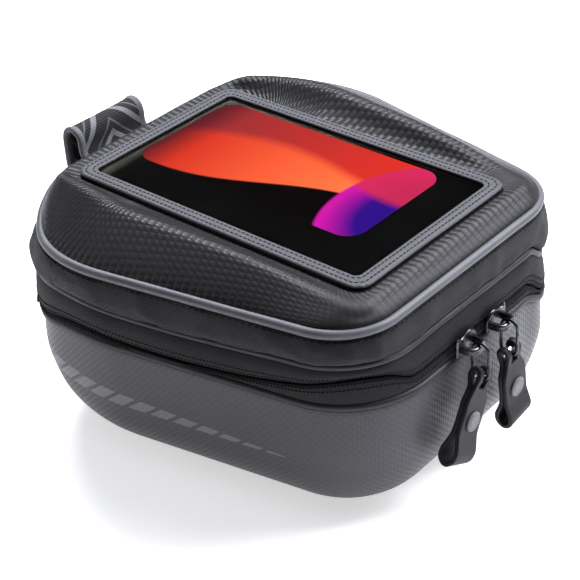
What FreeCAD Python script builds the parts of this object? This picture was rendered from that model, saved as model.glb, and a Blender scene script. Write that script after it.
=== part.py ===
import FreeCAD, Part
import math
import os
from collections import namedtuple

V = FreeCAD.Vector

# A small motorcycle tank bag: a moulded lower shell, a zipped lid with a clear map/phone window,
# two zip sliders with rubber pullers at the rider's end and a webbing handle at the front.
# Millimetres. +X towards the rider, +Y to the far side, +Z up, origin at the middle of the base.

# ---------------------------------------------------------------- driving dimensions
# A plan is a six-cornered outline with rounded corners, symmetric about the X axis.
Plan = namedtuple("Plan", "rear front rear_half mid_half front_half rear_radius front_radius")
WIDEST_X = -41.0
SIDE_RADIUS = 80.0
LID_PLAN = Plan(97.5, -108.0, 76.0, 104.0, 92.0, 33.0, 60.0)
SHELL_PLAN = Plan(101.0, -101.0, 71.5, 99.5, 87.5, 46.0, 52.0)
DECK_PLAN = Plan(87.0, -97.0, 63.0, 74.0, 60.0, 18.0, 20.0)

PAD_BOTTOM = 0.0
SHELL_BOTTOM = 3.0
SHELL_TOP = 66.0
SLIT_Z = 75.0
BAND_BEAD_Z = 89.5
LID_BEAD_Z = 108.0
DECK_Z = 116.5

SHELL_WALL, SHELL_INSET = 3.0, 1.5
BOTTOM_RADIUS = 28.0
LINING_GAP = 0.15
LINING = 0.8
LINING_Z = SHELL_BOTTOM + SHELL_WALL + LINING_GAP
BOARD = 2.0
FLAT_INSET = 33.0
LID_WALL, LID_INSET = 3.0, 2.6
BAND_WALL = 2.0
TAPE, TAPE_INSET = 1.2, 1.5
COIL_HEIGHT = 1.8
COIL_DEPTH = 2.0
SLIT_GAP = 1.4
LID_BEAD = 5.0
LID_SHELL_Z = LID_BEAD_Z + LID_BEAD / 2 + 0.1
RIM_BASE_Z = LID_SHELL_Z + 0.1
RIM_INNER_Y = 50.0
BAND_BEAD = 3.6
SHELL_BEAD = 4.0
SHELL_BEAD_Z = SHELL_TOP + SHELL_BEAD / 2

WINDOW_X = -4.0
FRAME_LENGTH, FRAME_WIDTH, FRAME_RADIUS = 170.0, 109.0, 6.0
OPENING_LENGTH, OPENING_WIDTH, OPENING_RADIUS = 155.0, 93.0, 4.0
FILM_LENGTH, FILM_WIDTH, FILM = 163.0, 101.0, 0.8
FRAME_HEIGHT = 1.8

ZIP_END_X = -88.0
POCKET_LENGTH, POCKET_WIDTH, POCKET_DEPTH, POCKET_WALL = 160.0, 100.0, 13.0, 1.2
POCKET_FRONT = -92.0

HANDLE_WIDTH, HANDLE_WEB, HANDLE_Y = 45.0, 2.2, -4.0

RING_BORE, RING_BARREL, RING_FLANGE = 38.0, 45.0, 58.0
RING_TOP = 12.5
SCREW_CIRCLE, SCREW_COUNT = 51.5, 4

SLIDER_Y = {"near": -9.0, "far": 13.0}
SLIDER_STANDOFF = 2.4
SLIDER_LENGTH, SLIDER_HEIGHT, PLATE = 14.0, 11.0, 1.8
NECK = 0.8
TAB = 1.6
BRIDGE_WIRE, BRIDGE_SPAN, BRIDGE_X = 2.8, 9.0, 108.8
LINK_WIRE, LINK_RADIUS, LINK_DROP = 1.6, 4.2, 10.2
LINK_X, LINK_TOP_Z = 109.8, SLIT_Z - 1.25
BAR_RADIUS, BAR_LENGTH = 1.2, 9.4
STRAP_LENGTH, STRAP_WIDTH, STRAP_PLY = 38.0, 16.0, 2.2
STRAP_NECK, NECK_END, SHOULDER = 9.4, 7.0, 15.0
FOLD_RADIUS = 4.6
RIVET_DROP, RIVET_SHANK, RIVET_CAP, RIVET_BACK = 21.0, 1.8, 4.2, 3.4
SLIDER_LEAN = {"near": 28.0, "far": -8.0}
BAR_CLEARANCE = 0.7

parts = {}


# ---------------------------------------------------------------- geometry helpers
def inset_corners(points, amount, closed=True):
    """Moves every side of a polyline to its left by amount and returns the new corners."""
    count = len(points)
    sides = []
    for i in range(count if closed else count - 1):
        a, b = points[i], points[(i + 1) % count]
        along = (b - a).normalize()
        left = V(-along.y, along.x, 0)
        sides.append((a + left * amount, along))
    corners = []
    for i in range(count):
        if not closed and i == 0:
            corners.append(sides[0][0])
        elif not closed and i == count - 1:
            a, b = points[i - 1], points[i]
            corners.append(sides[-1][0] + (b - a))
        else:
            (p, u), (q, w) = sides[i - 1], sides[i % len(sides)]
            cross = u.x * w.y - u.y * w.x
            k = ((q - p).x * w.y - (q - p).y * w.x) / cross
            corners.append(p + u * k)
    return corners


def rounded_edges(points, radii, closed=True):
    """Edges of a polyline in the XY plane whose corners are rounded by tangent arcs."""
    count = len(points)
    ends, arcs = [], []
    for i in range(count):
        if not closed and i in (0, count - 1):
            ends.append((points[i], points[i]))
            arcs.append(None)
            continue
        corner = points[i]
        back = (points[i - 1] - corner).normalize()
        ahead = (points[(i + 1) % count] - corner).normalize()
        half = back.getAngle(ahead) / 2
        reach = radii[i] / math.tan(half)
        start, end = corner + back * reach, corner + ahead * reach
        middle = corner + (back + ahead).normalize() * (radii[i] / math.sin(half) - radii[i])
        ends.append((start, end))
        arcs.append(Part.Arc(start, middle, end).toShape())
    edges = []
    for i in range(count):
        if arcs[i] is not None:
            edges.append(arcs[i])
        if closed or i < count - 1:
            a, b = ends[i][1], ends[(i + 1) % count][0]
            if a.distanceToPoint(b) > 1e-6:
                edges.append(Part.LineSegment(a, b).toShape())
    return edges


def plan_corners(plan):
    right = [V(plan.rear, -plan.rear_half, 0), V(plan.rear, plan.rear_half, 0), V(WIDEST_X, plan.mid_half, 0)]
    left = [V(plan.front, plan.front_half, 0), V(plan.front, -plan.front_half, 0), V(WIDEST_X, -plan.mid_half, 0)]
    return right + left


def outline(plan, inset, z):
    """The plan's rounded outline at height z, moved inwards by inset."""
    corners = inset_corners(plan_corners(plan), inset)
    rear, front, side = plan.rear_radius - inset, plan.front_radius - inset, SIDE_RADIUS - inset
    radii = [rear, rear, side, front, front, side]
    wire = Part.Wire(rounded_edges(corners, radii))
    wire.translate(V(0, 0, z))
    return wire


def between(z):
    """The plan at a height between the lid's bead and the shell's top edge."""
    t = (LID_BEAD_Z - z) / (LID_BEAD_Z - SHELL_TOP)
    return Plan(*[a + (b - a) * t for a, b in zip(LID_PLAN, SHELL_PLAN)])


def loft(*wires):
    return Part.makeLoft(list(wires), True, True)


def wall(sections, thickness):
    """A closed band: sections are (plan, inset, z) from bottom to top, the wall grows inwards."""
    outer = loft(*[outline(plan, inset, z) for plan, inset, z in sections])
    inner = loft(*[outline(plan, inset + thickness, z) for plan, inset, z in sections])
    return outer.cut(inner)


def bead(plan, inset, z, diameter):
    """A round cord that follows the plan's outline."""
    path = outline(plan, inset + diameter / 2, z)
    start = path.Edges[0].valueAt(path.Edges[0].FirstParameter)
    along = path.Edges[0].tangentAt(path.Edges[0].FirstParameter)
    profile = Part.Wire(Part.makeCircle(diameter / 2, start, along))
    return path.makePipeShell([profile], True, False)


def rounded_slab(length, width, radius, z0, z1, centre_x=WINDOW_X):
    half_l, half_w = length / 2, width / 2
    corners = [V(centre_x + sx * half_l, sy * half_w, z0) for sx, sy in ((-1, -1), (1, -1), (1, 1), (-1, 1))]
    face = Part.Face(Part.Wire(rounded_edges(corners, [radius] * 4)))
    return face.extrude(V(0, 0, z1 - z0))


def slab(x0, x1, y0, y1, z0, z1):
    return Part.makeBox(x1 - x0, y1 - y0, z1 - z0, V(x0, y0, z0))


def disc(radius, z0, z1, x=0.0, y=0.0):
    return Part.makeCylinder(radius, z1 - z0, V(x, y, z0))


def only_ahead_of(shape, x):
    """Keeps the part of a band on the rider's side of x."""
    return shape.common(slab(x, 200, -200, 200, -50, 250))


def only_behind(shape, x):
    return shape.common(slab(-200, x, -200, 200, -50, 250))


def ribbon(points, radii, thickness, width):
    """A strap: a rounded centre line in (x, z), given a thickness, width along Y and centred on Y = 0."""
    flat = [V(x, z, 0) for x, z in points]
    sides = []
    for offset in (thickness / 2, -thickness / 2):
        corners = inset_corners(flat, offset, closed=False)
        bends = [0.0] * len(radii)
        for i in range(1, len(flat) - 1):
            a, b = flat[i] - flat[i - 1], flat[i + 1] - flat[i]
            turn = math.copysign(1.0, a.x * b.y - a.y * b.x)
            bends[i] = radii[i] - turn * offset
        sides.append((corners, rounded_edges(corners, bends, closed=False)))
    (left_corners, left), (right_corners, right) = sides
    caps = [Part.LineSegment(left_corners[k], right_corners[k]).toShape() for k in (0, -1)]
    face = Part.Face(Part.Wire(Part.__sortEdges__(left + right + caps)))
    face.rotate(V(0, 0, 0), V(1, 0, 0), 90)
    face.translate(V(0, width / 2, 0))
    return face.extrude(V(0, -width, 0))


def largest(shape):
    return max(shape.Solids, key=lambda solid: solid.Volume)


def add(name, shape):
    parts[name] = shape


# ---------------------------------------------------------------- lower body
def shell_block(inset, bottom, top, radius):
    block = Part.Face(outline(SHELL_PLAN, inset, bottom)).extrude(V(0, 0, top - bottom))
    floor_edges = [e for e in block.Edges if e.BoundBox.ZMax < bottom + 0.01]
    return block.makeFillet(radius, floor_edges)


def lower_body():
    above = SHELL_TOP + 10
    outer = shell_block(SHELL_INSET, SHELL_BOTTOM, SHELL_TOP, BOTTOM_RADIUS)
    hollow = shell_block(SHELL_INSET + SHELL_WALL, SHELL_BOTTOM + SHELL_WALL, above, BOTTOM_RADIUS - SHELL_WALL)
    ring_hole = disc(RING_BARREL + 0.2, -1, RING_TOP)
    add("body_shell", outer.cut(hollow).cut(ring_hole))

    skin = SHELL_INSET + SHELL_WALL + LINING_GAP
    radius = BOTTOM_RADIUS - SHELL_WALL - LINING_GAP
    lining_out = shell_block(skin, LINING_Z, SHELL_TOP - 1, radius)
    lining_in = shell_block(skin + LINING, LINING_Z + LINING, above, radius - LINING)
    add("body_lining", lining_out.cut(lining_in).cut(ring_hole))

    board = Part.Face(outline(SHELL_PLAN, FLAT_INSET, LINING_Z + LINING)).extrude(V(0, 0, BOARD))
    add("floor_board", board.cut(ring_hole))

    pad = Part.Face(outline(SHELL_PLAN, FLAT_INSET, PAD_BOTTOM)).extrude(V(0, 0, SHELL_BOTTOM - PAD_BOTTOM))
    add("base_pad", pad.cut(disc(RING_FLANGE + 0.5, -1, RING_TOP)))

    add("body_edge_bead", bead(SHELL_PLAN, 0.0, SHELL_BEAD_Z, SHELL_BEAD))


def ring_mount():
    """The quick-release ring socket in the floor: ring, clamp plate and screws."""
    board_top = LINING_Z + LINING + BOARD
    ring = disc(RING_FLANGE, PAD_BOTTOM, SHELL_BOTTOM).fuse(disc(RING_BARREL, PAD_BOTTOM, RING_TOP))
    ring = ring.cut(disc(RING_BORE, PAD_BOTTOM, RING_TOP - 2.0))
    plate = disc(RING_FLANGE, board_top, board_top + 2.0).cut(disc(RING_BARREL + 0.2, 0, 20))
    screws, holes = [], []
    for k in range(SCREW_COUNT):
        angle = math.radians(45 + 90 * k)
        x, y = SCREW_CIRCLE * math.cos(angle), SCREW_CIRCLE * math.sin(angle)
        shank = disc(2.0, 1.0, board_top + 2.0, x, y)
        head = disc(3.8, board_top + 2.0, board_top + 4.2, x, y)
        socket = Part.makeCylinder(1.4, 1.4, V(x, y, board_top + 2.9))
        screws.append(shank.fuse(head).cut(socket))
        holes.append(shank)
    for name in ("body_shell", "body_lining", "floor_board"):
        parts[name] = parts[name].cut(holes)
    add("mount_ring", ring.cut(holes))
    add("mount_clamp_plate", plate.cut(holes))
    add("mount_screws", Part.makeCompound(screws))


# ---------------------------------------------------------------- zip and fabric bands
def zip_bands():
    upper_top, lower_bottom = BAND_BEAD_Z - BAND_BEAD / 2 - 0.1, SHELL_BEAD_Z + SHELL_BEAD / 2
    edge_up, edge_down = SLIT_Z + SLIT_GAP / 2, SLIT_Z - SLIT_GAP / 2
    track = between(SLIT_Z)

    def strip(inset, low, high, thickness):
        return wall([(track, inset, low), (track, inset, high)], thickness)

    upper = strip(TAPE_INSET, edge_up, upper_top, TAPE)
    lower = strip(TAPE_INSET, lower_bottom, edge_down, TAPE)
    coil_up = strip(TAPE_INSET + TAPE, edge_up, edge_up + COIL_HEIGHT, COIL_DEPTH)
    coil_down = strip(TAPE_INSET + TAPE, edge_down - COIL_HEIGHT, edge_down, COIL_DEPTH)
    gap = 0.15
    for name, band in (("zip_tape_upper", upper), ("zip_tape_lower", lower),
                       ("zip_coil_upper", coil_up), ("zip_coil_lower", coil_down)):
        add(name, only_ahead_of(band, ZIP_END_X + gap))
    add("hinge_strip_upper", only_behind(upper, ZIP_END_X - gap))
    add("hinge_strip_lower", only_behind(lower, ZIP_END_X - gap))

    tab_band = strip(TAPE_INSET - TAB - 0.1, lower_bottom, edge_down - 0.4, TAB)
    both = only_ahead_of(only_behind(tab_band, ZIP_END_X + 6), ZIP_END_X - 6)
    for solid in both.Solids:
        side = "near" if solid.CenterOfMass.y < 0 else "far"
        add("zip_end_tab_" + side, solid)


def lid_bands():
    band_bottom, band_top = BAND_BEAD_Z + BAND_BEAD / 2, LID_BEAD_Z - LID_BEAD / 2
    sections = [(LID_PLAN, 0.8, band_bottom), (LID_PLAN, 0.2, (band_bottom + band_top) / 2),
                (LID_PLAN, 1.4, band_top)]
    add("lid_band", wall(sections, BAND_WALL))
    add("band_bead", bead(between(BAND_BEAD_Z), 1.2, BAND_BEAD_Z, BAND_BEAD))
    add("lid_piping", bead(LID_PLAN, 0.0, LID_BEAD_Z, LID_BEAD))


# ---------------------------------------------------------------- lid
def side_rim():
    """The raised rim along one long side of the deck: crest stations are (x, crest y, crest z)."""
    stations = [(-92.0, 52.0, 117.0), (-80.0, 62.5, 122.0), (-55.0, 68.8, 125.3), (-28.0, 71.0, 125.3),
                (14.0, 68.0, 124.2), (48.0, 65.3, 121.6), (78.0, 60.0, 117.0)]
    inner_foot = FRAME_WIDTH / 2 + 1.2
    sections = []
    for x, crest_y, crest_z in stations:
        foot = flank_foot(x) - 4.0
        corners = [V(x, foot, RIM_BASE_Z), V(x, crest_y + 2.5, crest_z - 1.2), V(x, crest_y - 2.5, crest_z),
                   V(x, min(inner_foot, crest_y - 4), DECK_Z - 0.4), V(x, RIM_INNER_Y, DECK_Z - 2.0),
                   V(x, RIM_INNER_Y, RIM_BASE_Z)]
        sections.append(Part.makePolygon(corners + corners[:1]))
    return Part.makeLoft(sections, True, True)


def flank_foot(x):
    """Half-width of the lid's lower outline at x, on its straight sides."""
    plan = LID_PLAN
    if x > WIDEST_X:
        share = (x - WIDEST_X) / (plan.rear - WIDEST_X)
        return plan.mid_half + (plan.rear_half - plan.mid_half) * share
    share = (WIDEST_X - x) / (WIDEST_X - plan.front)
    straight = plan.mid_half + (plan.front_half - plan.mid_half) * share
    corner_start = plan.front + plan.front_radius
    if x < corner_start:
        straight -= plan.front_radius - math.sqrt(plan.front_radius ** 2 - (corner_start - x) ** 2)
    return straight


def lid():
    block = loft(outline(LID_PLAN, LID_INSET, LID_SHELL_Z), outline(DECK_PLAN, 0.0, DECK_Z))
    near_rim = side_rim()
    far_rim = near_rim.mirror(V(0, 0, 0), V(0, 1, 0))
    hollow = loft(outline(LID_PLAN, LID_INSET + LID_WALL, LID_SHELL_Z - 1),
                  outline(DECK_PLAN, LID_WALL, DECK_Z - LID_WALL))
    opening = rounded_slab(OPENING_LENGTH, OPENING_WIDTH, OPENING_RADIUS, 100, 130)
    deck_clear = rounded_slab(FRAME_LENGTH + 1.6, FRAME_WIDTH + 1.6, FRAME_RADIUS, DECK_Z, 130)
    shell = block.fuse([near_rim, far_rim]).cut([hollow, opening, deck_clear])
    add("lid_shell", largest(shell.removeSplitter()))

    frame_top = DECK_Z + FRAME_HEIGHT
    frame = rounded_slab(FRAME_LENGTH, FRAME_WIDTH, FRAME_RADIUS, DECK_Z, frame_top)
    film_seat = rounded_slab(FILM_LENGTH, FILM_WIDTH, 3.0, DECK_Z, DECK_Z + FILM)
    add("window_frame", frame.cut([film_seat, opening]))
    add("window_film", rounded_slab(FILM_LENGTH - 0.2, FILM_WIDTH - 0.2, 3.0, DECK_Z, DECK_Z + FILM))
    add("insert_card", rounded_slab(OPENING_LENGTH - 2, OPENING_WIDTH - 2, 3.0, DECK_Z - 1.0, DECK_Z - 0.4))


def pocket():
    """The phone pocket under the window: a tray open at its rider's end, and its hook-and-loop closure."""
    ceiling = DECK_Z - LID_WALL
    floor = ceiling - POCKET_DEPTH
    x0, x1 = POCKET_FRONT, POCKET_FRONT + POCKET_LENGTH
    half = POCKET_WIDTH / 2
    outside = slab(x0, x1, -half, half, floor - POCKET_WALL, ceiling)
    inside = slab(x0 + POCKET_WALL, x1 + 1, POCKET_WALL - half, half - POCKET_WALL, floor, ceiling + 1)
    add("pocket_tray", outside.cut(inside))
    add("pocket_loop_strip", slab(x1 - 13, x1 - 1, -32, 32, floor, floor + 0.9))
    add("pocket_hook_strip", slab(x1 + 1.5, x1 + 11.5, -32, 32, ceiling - 0.9, ceiling))


def handle():
    """Webbing loop at the front end, seen edge-on in XZ; both ends are sewn to the lid's band."""
    band_face = LID_PLAN.front + 0.1 - HANDLE_WEB / 2
    points = [(band_face, 92.0), (band_face, 99.0), (-116.0, 103.5), (-116.0, 116.4), (-126.5, 116.4),
              (-126.5, 92.0), (-121.0, 84.0), (-113.0, 84.0)]
    radii = [0, 3.2, 3.5, 5.0, 5.0, 8.0, 4.0, 0]
    strap = ribbon(points, radii, HANDLE_WEB, HANDLE_WIDTH)
    strap.translate(V(0, HANDLE_Y, 0))
    tail = slab(-113.0, band_face + HANDLE_WEB / 2, HANDLE_Y - HANDLE_WIDTH / 2, HANDLE_Y + HANDLE_WIDTH / 2,
                84.0 - HANDLE_WEB / 2, 84.0 + HANDLE_WEB / 2)
    add("handle_strap", strap.fuse(tail))


# ---------------------------------------------------------------- sliders and pullers
def slider(side, y, lean):
    """One zip slider with its bridge, pull link, cross bar, rubber puller and rivet."""
    tape_face = between(SLIT_Z).rear - TAPE_INSET
    outer_x, inner_x = tape_face + SLIDER_STANDOFF, tape_face - TAPE - COIL_DEPTH - 1.4
    half_l, half_h = SLIDER_LENGTH / 2, SLIDER_HEIGHT / 2
    z0, z1 = SLIT_Z - half_h, SLIT_Z + half_h
    outer = slab(outer_x, outer_x + PLATE, y - half_l, y + half_l, z0, z1)
    outer = outer.makeFillet(2.4, [e for e in outer.Edges if abs(e.tangentAt(0).x) > 0.9])
    inner = slab(inner_x - PLATE, inner_x, y - half_l, y + half_l, z0, z1)
    inner = inner.makeFillet(2.4, [e for e in inner.Edges if abs(e.tangentAt(0).x) > 0.9])
    neck = slab(inner_x - 0.5, outer_x + 0.5, y - 3.0, y + 3.0, SLIT_Z - NECK / 2, SLIT_Z + NECK / 2)
    add("slider_" + side, outer.fuse([inner, neck]).removeSplitter())

    reach = BRIDGE_SPAN / 2
    feet = outer_x + PLATE - 0.2
    path = Part.Wire(rounded_edges(
        [V(feet, y - reach, 0), V(BRIDGE_X, y - reach, 0), V(BRIDGE_X, y + reach, 0), V(feet, y + reach, 0)],
        [0, 2.2, 2.2, 0], closed=False))
    path.translate(V(0, 0, SLIT_Z))
    profile = Part.Wire(Part.makeCircle(BRIDGE_WIRE / 2, V(feet, y - reach, SLIT_Z), V(1, 0, 0)))
    bridge = path.makePipeShell([profile], True, False)
    add("slider_bridge_" + side, bridge.cut(outer))

    low = LINK_TOP_Z - LINK_DROP
    corners = [V(LINK_X - LINK_RADIUS, LINK_TOP_Z + LINK_RADIUS, 0), V(LINK_X - LINK_RADIUS, low - LINK_RADIUS, 0),
               V(LINK_X + LINK_RADIUS, low - LINK_RADIUS, 0), V(LINK_X + LINK_RADIUS, LINK_TOP_Z + LINK_RADIUS, 0)]
    loop = Part.Wire(rounded_edges(corners, [LINK_RADIUS * 0.999] * 4))
    loop.rotate(V(0, 0, 0), V(1, 0, 0), 90)
    loop.translate(V(0, y, 0))
    first = loop.Edges[0]
    start, along = first.valueAt(first.FirstParameter), first.tangentAt(first.FirstParameter)
    ring = loop.makePipeShell([Part.Wire(Part.makeCircle(LINK_WIRE / 2, start, along))], True, False)
    add("pull_link_" + side, ring)

    bar_z = low - LINK_RADIUS + LINK_WIRE / 2 + BAR_RADIUS + BAR_CLEARANCE
    pivot = V(LINK_X, y, bar_z)
    bar = Part.makeCylinder(BAR_RADIUS, BAR_LENGTH, V(0, -BAR_LENGTH / 2, 0), V(0, 1, 0))
    pieces = {"pull_bar_" + side: bar, "pull_strap_" + side: puller_strap(), "pull_rivet_" + side: puller_rivet()}
    for name, shape in pieces.items():
        shape.rotate(V(0, 0, 0), V(1, 0, 0), -lean)
        shape.translate(pivot)
        add(name, shape)


def puller_strap():
    """Two plies of rubber hanging from the bar at the origin, with a teardrop fold at the lower end."""
    ply, drop = STRAP_PLY, STRAP_LENGTH
    half_top, half_low, ear = STRAP_NECK / 2, STRAP_WIDTH / 2, 2 * BAR_RADIUS
    side = [(half_top, ear), (half_top, -NECK_END), (half_low, -SHOULDER), (half_low, -drop)]
    border = [V(-ply, -y, z) for y, z in side] + [V(-ply, y, z) for y, z in reversed(side)]
    blade = Part.Face(Part.makePolygon(border + border[:1])).extrude(V(2 * ply, 0, 0))
    fold_z = 1.0 - drop
    fold = Part.makeCylinder(FOLD_RADIUS, STRAP_WIDTH, V(0, -half_low, fold_z), V(0, 1, 0))
    hollow = Part.makeCylinder(FOLD_RADIUS - ply, STRAP_WIDTH + 2, V(0, -half_low - 1, fold_z), V(0, 1, 0))
    slot = slab(-5, 5, -2.2, 2.2, -6.4, 5)
    bar_hole = Part.makeCylinder(BAR_RADIUS, 20, V(0, -10, 0), V(0, 1, 0))
    rivet_hole = Part.makeCylinder(RIVET_SHANK, 10, V(-5, 0, -RIVET_DROP), V(1, 0, 0))
    return blade.fuse(fold).cut([hollow, slot, bar_hole, rivet_hole]).removeSplitter()


def puller_rivet():
    ply, z = STRAP_PLY, -RIVET_DROP
    shank = Part.makeCylinder(RIVET_SHANK, 2 * ply, V(-ply, 0, z), V(1, 0, 0))
    cap = Part.makeCylinder(RIVET_CAP, 1.2, V(ply, 0, z), V(1, 0, 0))
    back = Part.makeCylinder(RIVET_BACK, 0.9, V(-ply - 0.9, 0, z), V(1, 0, 0))
    cap = cap.makeFillet(0.7, [e for e in cap.Edges if e.BoundBox.XMin > ply + 1.1])
    return shank.fuse([cap, back]).removeSplitter()


# ---------------------------------------------------------------- build and write
lower_body()
ring_mount()
zip_bands()
lid_bands()
lid()
pocket()
handle()
for side in ("near", "far"):
    slider(side, SLIDER_Y[side], SLIDER_LEAN[side])

os.makedirs("parts", exist_ok=True)
for name, shape in parts.items():
    if not shape.isValid():
        print("not valid:", name)
    shape.exportStep(os.path.join("parts", name + ".step"))
    print(name, "solids", len(shape.Solids), "volume_cm3", round(shape.Volume / 1000, 2))
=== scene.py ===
import math
from collections import namedtuple

import bpy
import numpy as np
from mathutils import Matrix, Vector


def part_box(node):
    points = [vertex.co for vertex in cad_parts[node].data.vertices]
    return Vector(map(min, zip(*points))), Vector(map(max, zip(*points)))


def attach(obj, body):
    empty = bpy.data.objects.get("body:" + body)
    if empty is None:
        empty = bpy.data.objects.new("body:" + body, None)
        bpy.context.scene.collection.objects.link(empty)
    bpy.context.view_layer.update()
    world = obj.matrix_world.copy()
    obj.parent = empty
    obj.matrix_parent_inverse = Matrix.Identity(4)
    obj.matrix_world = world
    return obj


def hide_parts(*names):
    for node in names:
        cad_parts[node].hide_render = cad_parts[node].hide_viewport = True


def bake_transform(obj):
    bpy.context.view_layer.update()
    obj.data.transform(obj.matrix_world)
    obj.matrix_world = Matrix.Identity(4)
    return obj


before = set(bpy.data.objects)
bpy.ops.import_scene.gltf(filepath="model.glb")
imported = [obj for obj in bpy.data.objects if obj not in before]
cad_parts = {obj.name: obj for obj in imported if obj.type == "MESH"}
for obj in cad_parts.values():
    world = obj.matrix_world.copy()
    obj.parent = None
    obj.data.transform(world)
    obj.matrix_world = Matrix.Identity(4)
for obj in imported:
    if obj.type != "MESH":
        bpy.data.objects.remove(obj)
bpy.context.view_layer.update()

MM = 0.001

# ---------------------------------------------------------------- the bag's dimensions, in mm, as in the CAD
Plan = namedtuple("Plan", "rear front rear_half mid_half front_half rear_radius front_radius")
WIDEST_X, SIDE_RADIUS = -41.0, 80.0
LID_PLAN = Plan(97.5, -108.0, 76.0, 104.0, 92.0, 33.0, 60.0)
SHELL_PLAN = Plan(101.0, -101.0, 71.5, 99.5, 87.5, 46.0, 52.0)
CREST_PLAN = Plan(87.0, -97.0, 63.0, 73.5, 61.0, 5.0, 13.0)
SHELL_TOP, LID_BEAD_Z, SLIT_Z, BAND_BEAD_Z, SHELL_BEAD_Z = 66.0, 108.0, 75.0, 89.5, 68.0
DECK_Z, WINDOW_X = 116.5, -4.0
WINDOW_LENGTH, WINDOW_WIDTH = 155.0, 93.0
ZIP_END_X = -88.0
SLIDER_Y = {"near": -9.0, "far": 13.0}
BRIDGE_X, LINK_X, LINK_TOP_Z = 108.8, 109.8, 73.75
LINK_DROP, LINK_RADIUS, WIRE_RADIUS = 10.2, 4.2, 0.8
PIN_RADIUS, PIN_GAP = 1.2, 0.7
LEAN = {"near": 28.0, "far": -8.0}
SIGN = {"near": -1.0, "far": 1.0}


# ---------------------------------------------------------------- outlines
SIDE_STEPS = (24, 30, 8, 24, 8, 30)
ARC_STEPS = (16, 16, 8, 22, 22, 8)
COLUMNS = sum(SIDE_STEPS) + sum(ARC_STEPS)


def inset_corners(points, amount):
    count = len(points)
    sides = []
    for i in range(count):
        a, b = points[i], points[(i + 1) % count]
        along = (b - a) / np.linalg.norm(b - a)
        sides.append((a + np.array([-along[1], along[0]]) * amount, along))
    corners = []
    for i in range(count):
        (p, u), (q, w) = sides[i - 1], sides[i]
        cross = u[0] * w[1] - u[1] * w[0]
        corners.append(p + u * (((q - p)[0] * w[1] - (q - p)[1] * w[0]) / cross))
    return corners


def rounded(corners, radii, side_steps, arc_steps):
    """A closed outline with arcs at its corners. Outlines with the same steps have matching points."""
    count = len(corners)
    starts, ends, arcs = [], [], []
    for i in range(count):
        corner = corners[i]
        back = corners[i - 1] - corner
        ahead = corners[(i + 1) % count] - corner
        back, ahead = back / np.linalg.norm(back), ahead / np.linalg.norm(ahead)
        half = math.acos(max(-1.0, min(1.0, float(back @ ahead)))) / 2
        reach = radii[i] / math.tan(half)
        bisector = (back + ahead) / np.linalg.norm(back + ahead)
        centre = corner + bisector * (radii[i] / math.sin(half))
        start, end = corner + back * reach, corner + ahead * reach
        turn = math.pi - 2 * half
        arm = start - centre
        points = []
        for k in range(arc_steps[i] + 1):
            a = turn * k / arc_steps[i]
            points.append(centre + np.array([arm[0] * math.cos(a) - arm[1] * math.sin(a),
                                             arm[0] * math.sin(a) + arm[1] * math.cos(a)]))
        starts.append(start)
        ends.append(end)
        arcs.append(points)
    outline_points = []
    for i in range(count):
        outline_points += arcs[i]
        a, b = ends[i], starts[(i + 1) % count]
        outline_points += [a + (b - a) * k / side_steps[i] for k in range(1, side_steps[i])]
    return np.array(outline_points)


def outline(plan, inset, z):
    """The plan's rounded outline at height z: COLUMNS points, counter-clockwise from the near rear corner."""
    half = [plan.rear_half, plan.mid_half, plan.front_half]
    corners = [np.array(c) for c in ((plan.rear, -half[0]), (plan.rear, half[0]), (WIDEST_X, half[1]),
                                     (plan.front, half[2]), (plan.front, -half[2]), (WIDEST_X, -half[1]))]
    rear, front, side = plan.rear_radius - inset, plan.front_radius - inset, SIDE_RADIUS - inset
    radii = [rear, rear, side, front, front, side]
    flat = rounded(inset_corners(corners, inset), radii, SIDE_STEPS, ARC_STEPS)
    return np.column_stack([flat, np.broadcast_to(z, len(flat))])


def window_ring(grow, z, radius):
    """A rounded rectangle round the window, that much bigger on each side."""
    half_x, half_y = WINDOW_LENGTH / 2 + grow, WINDOW_WIDTH / 2 + grow
    signs = ((1, -1), (1, 1), (-1, 1), (-1, -1))
    corners = [np.array([WINDOW_X + a * half_x, b * half_y]) for a, b in signs]
    flat = rounded(corners, [radius] * 4, [26] * 4, [8] * 4)
    return np.column_stack([flat, np.broadcast_to(z, len(flat))])


def between(z):
    """The bag's plan at a height between the shell's top and the lid's piping."""
    t = (LID_BEAD_Z - z) / (LID_BEAD_Z - SHELL_TOP)
    return Plan(*[a + (b - a) * t for a, b in zip(LID_PLAN, SHELL_PLAN)])


def unit(vectors):
    return vectors / np.linalg.norm(vectors, axis=1)[:, None]


def tangents(points, closed):
    return np.roll(points, -1, 0) - np.roll(points, 1, 0) if closed else np.gradient(points, axis=0)


def outward(points, closed=True):
    """Unit vectors in the XY plane that point out of a counter-clockwise path."""
    along = tangents(points, closed)
    return unit(np.column_stack([along[:, 1], -along[:, 0], np.zeros(len(points))]))


def circle(steps):
    """(cos, sin) at evenly spaced angles."""
    return [(math.cos(a), math.sin(a)) for a in np.linspace(0, 2 * math.pi, steps, endpoint=False)]


def mirrored(section):
    """A closed outline from its upper half, whose two ends lie on the middle line."""
    return section + [(a, -b) for a, b in reversed(section[1:-1])]


def hill(values, centre, width):
    return np.exp(-((values - centre) / width) ** 2)


def smooth(values, low, high):
    t = np.clip((values - low) / (high - low), 0, 1)
    return t * t * (3 - 2 * t)


# ---------------------------------------------------------------- meshes
def lengths(points, closed):
    steps = np.linalg.norm(np.diff(points, axis=0, append=points[:1] if closed else points[-1:]), axis=1)
    return np.concatenate([[0], np.cumsum(steps)])


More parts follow.
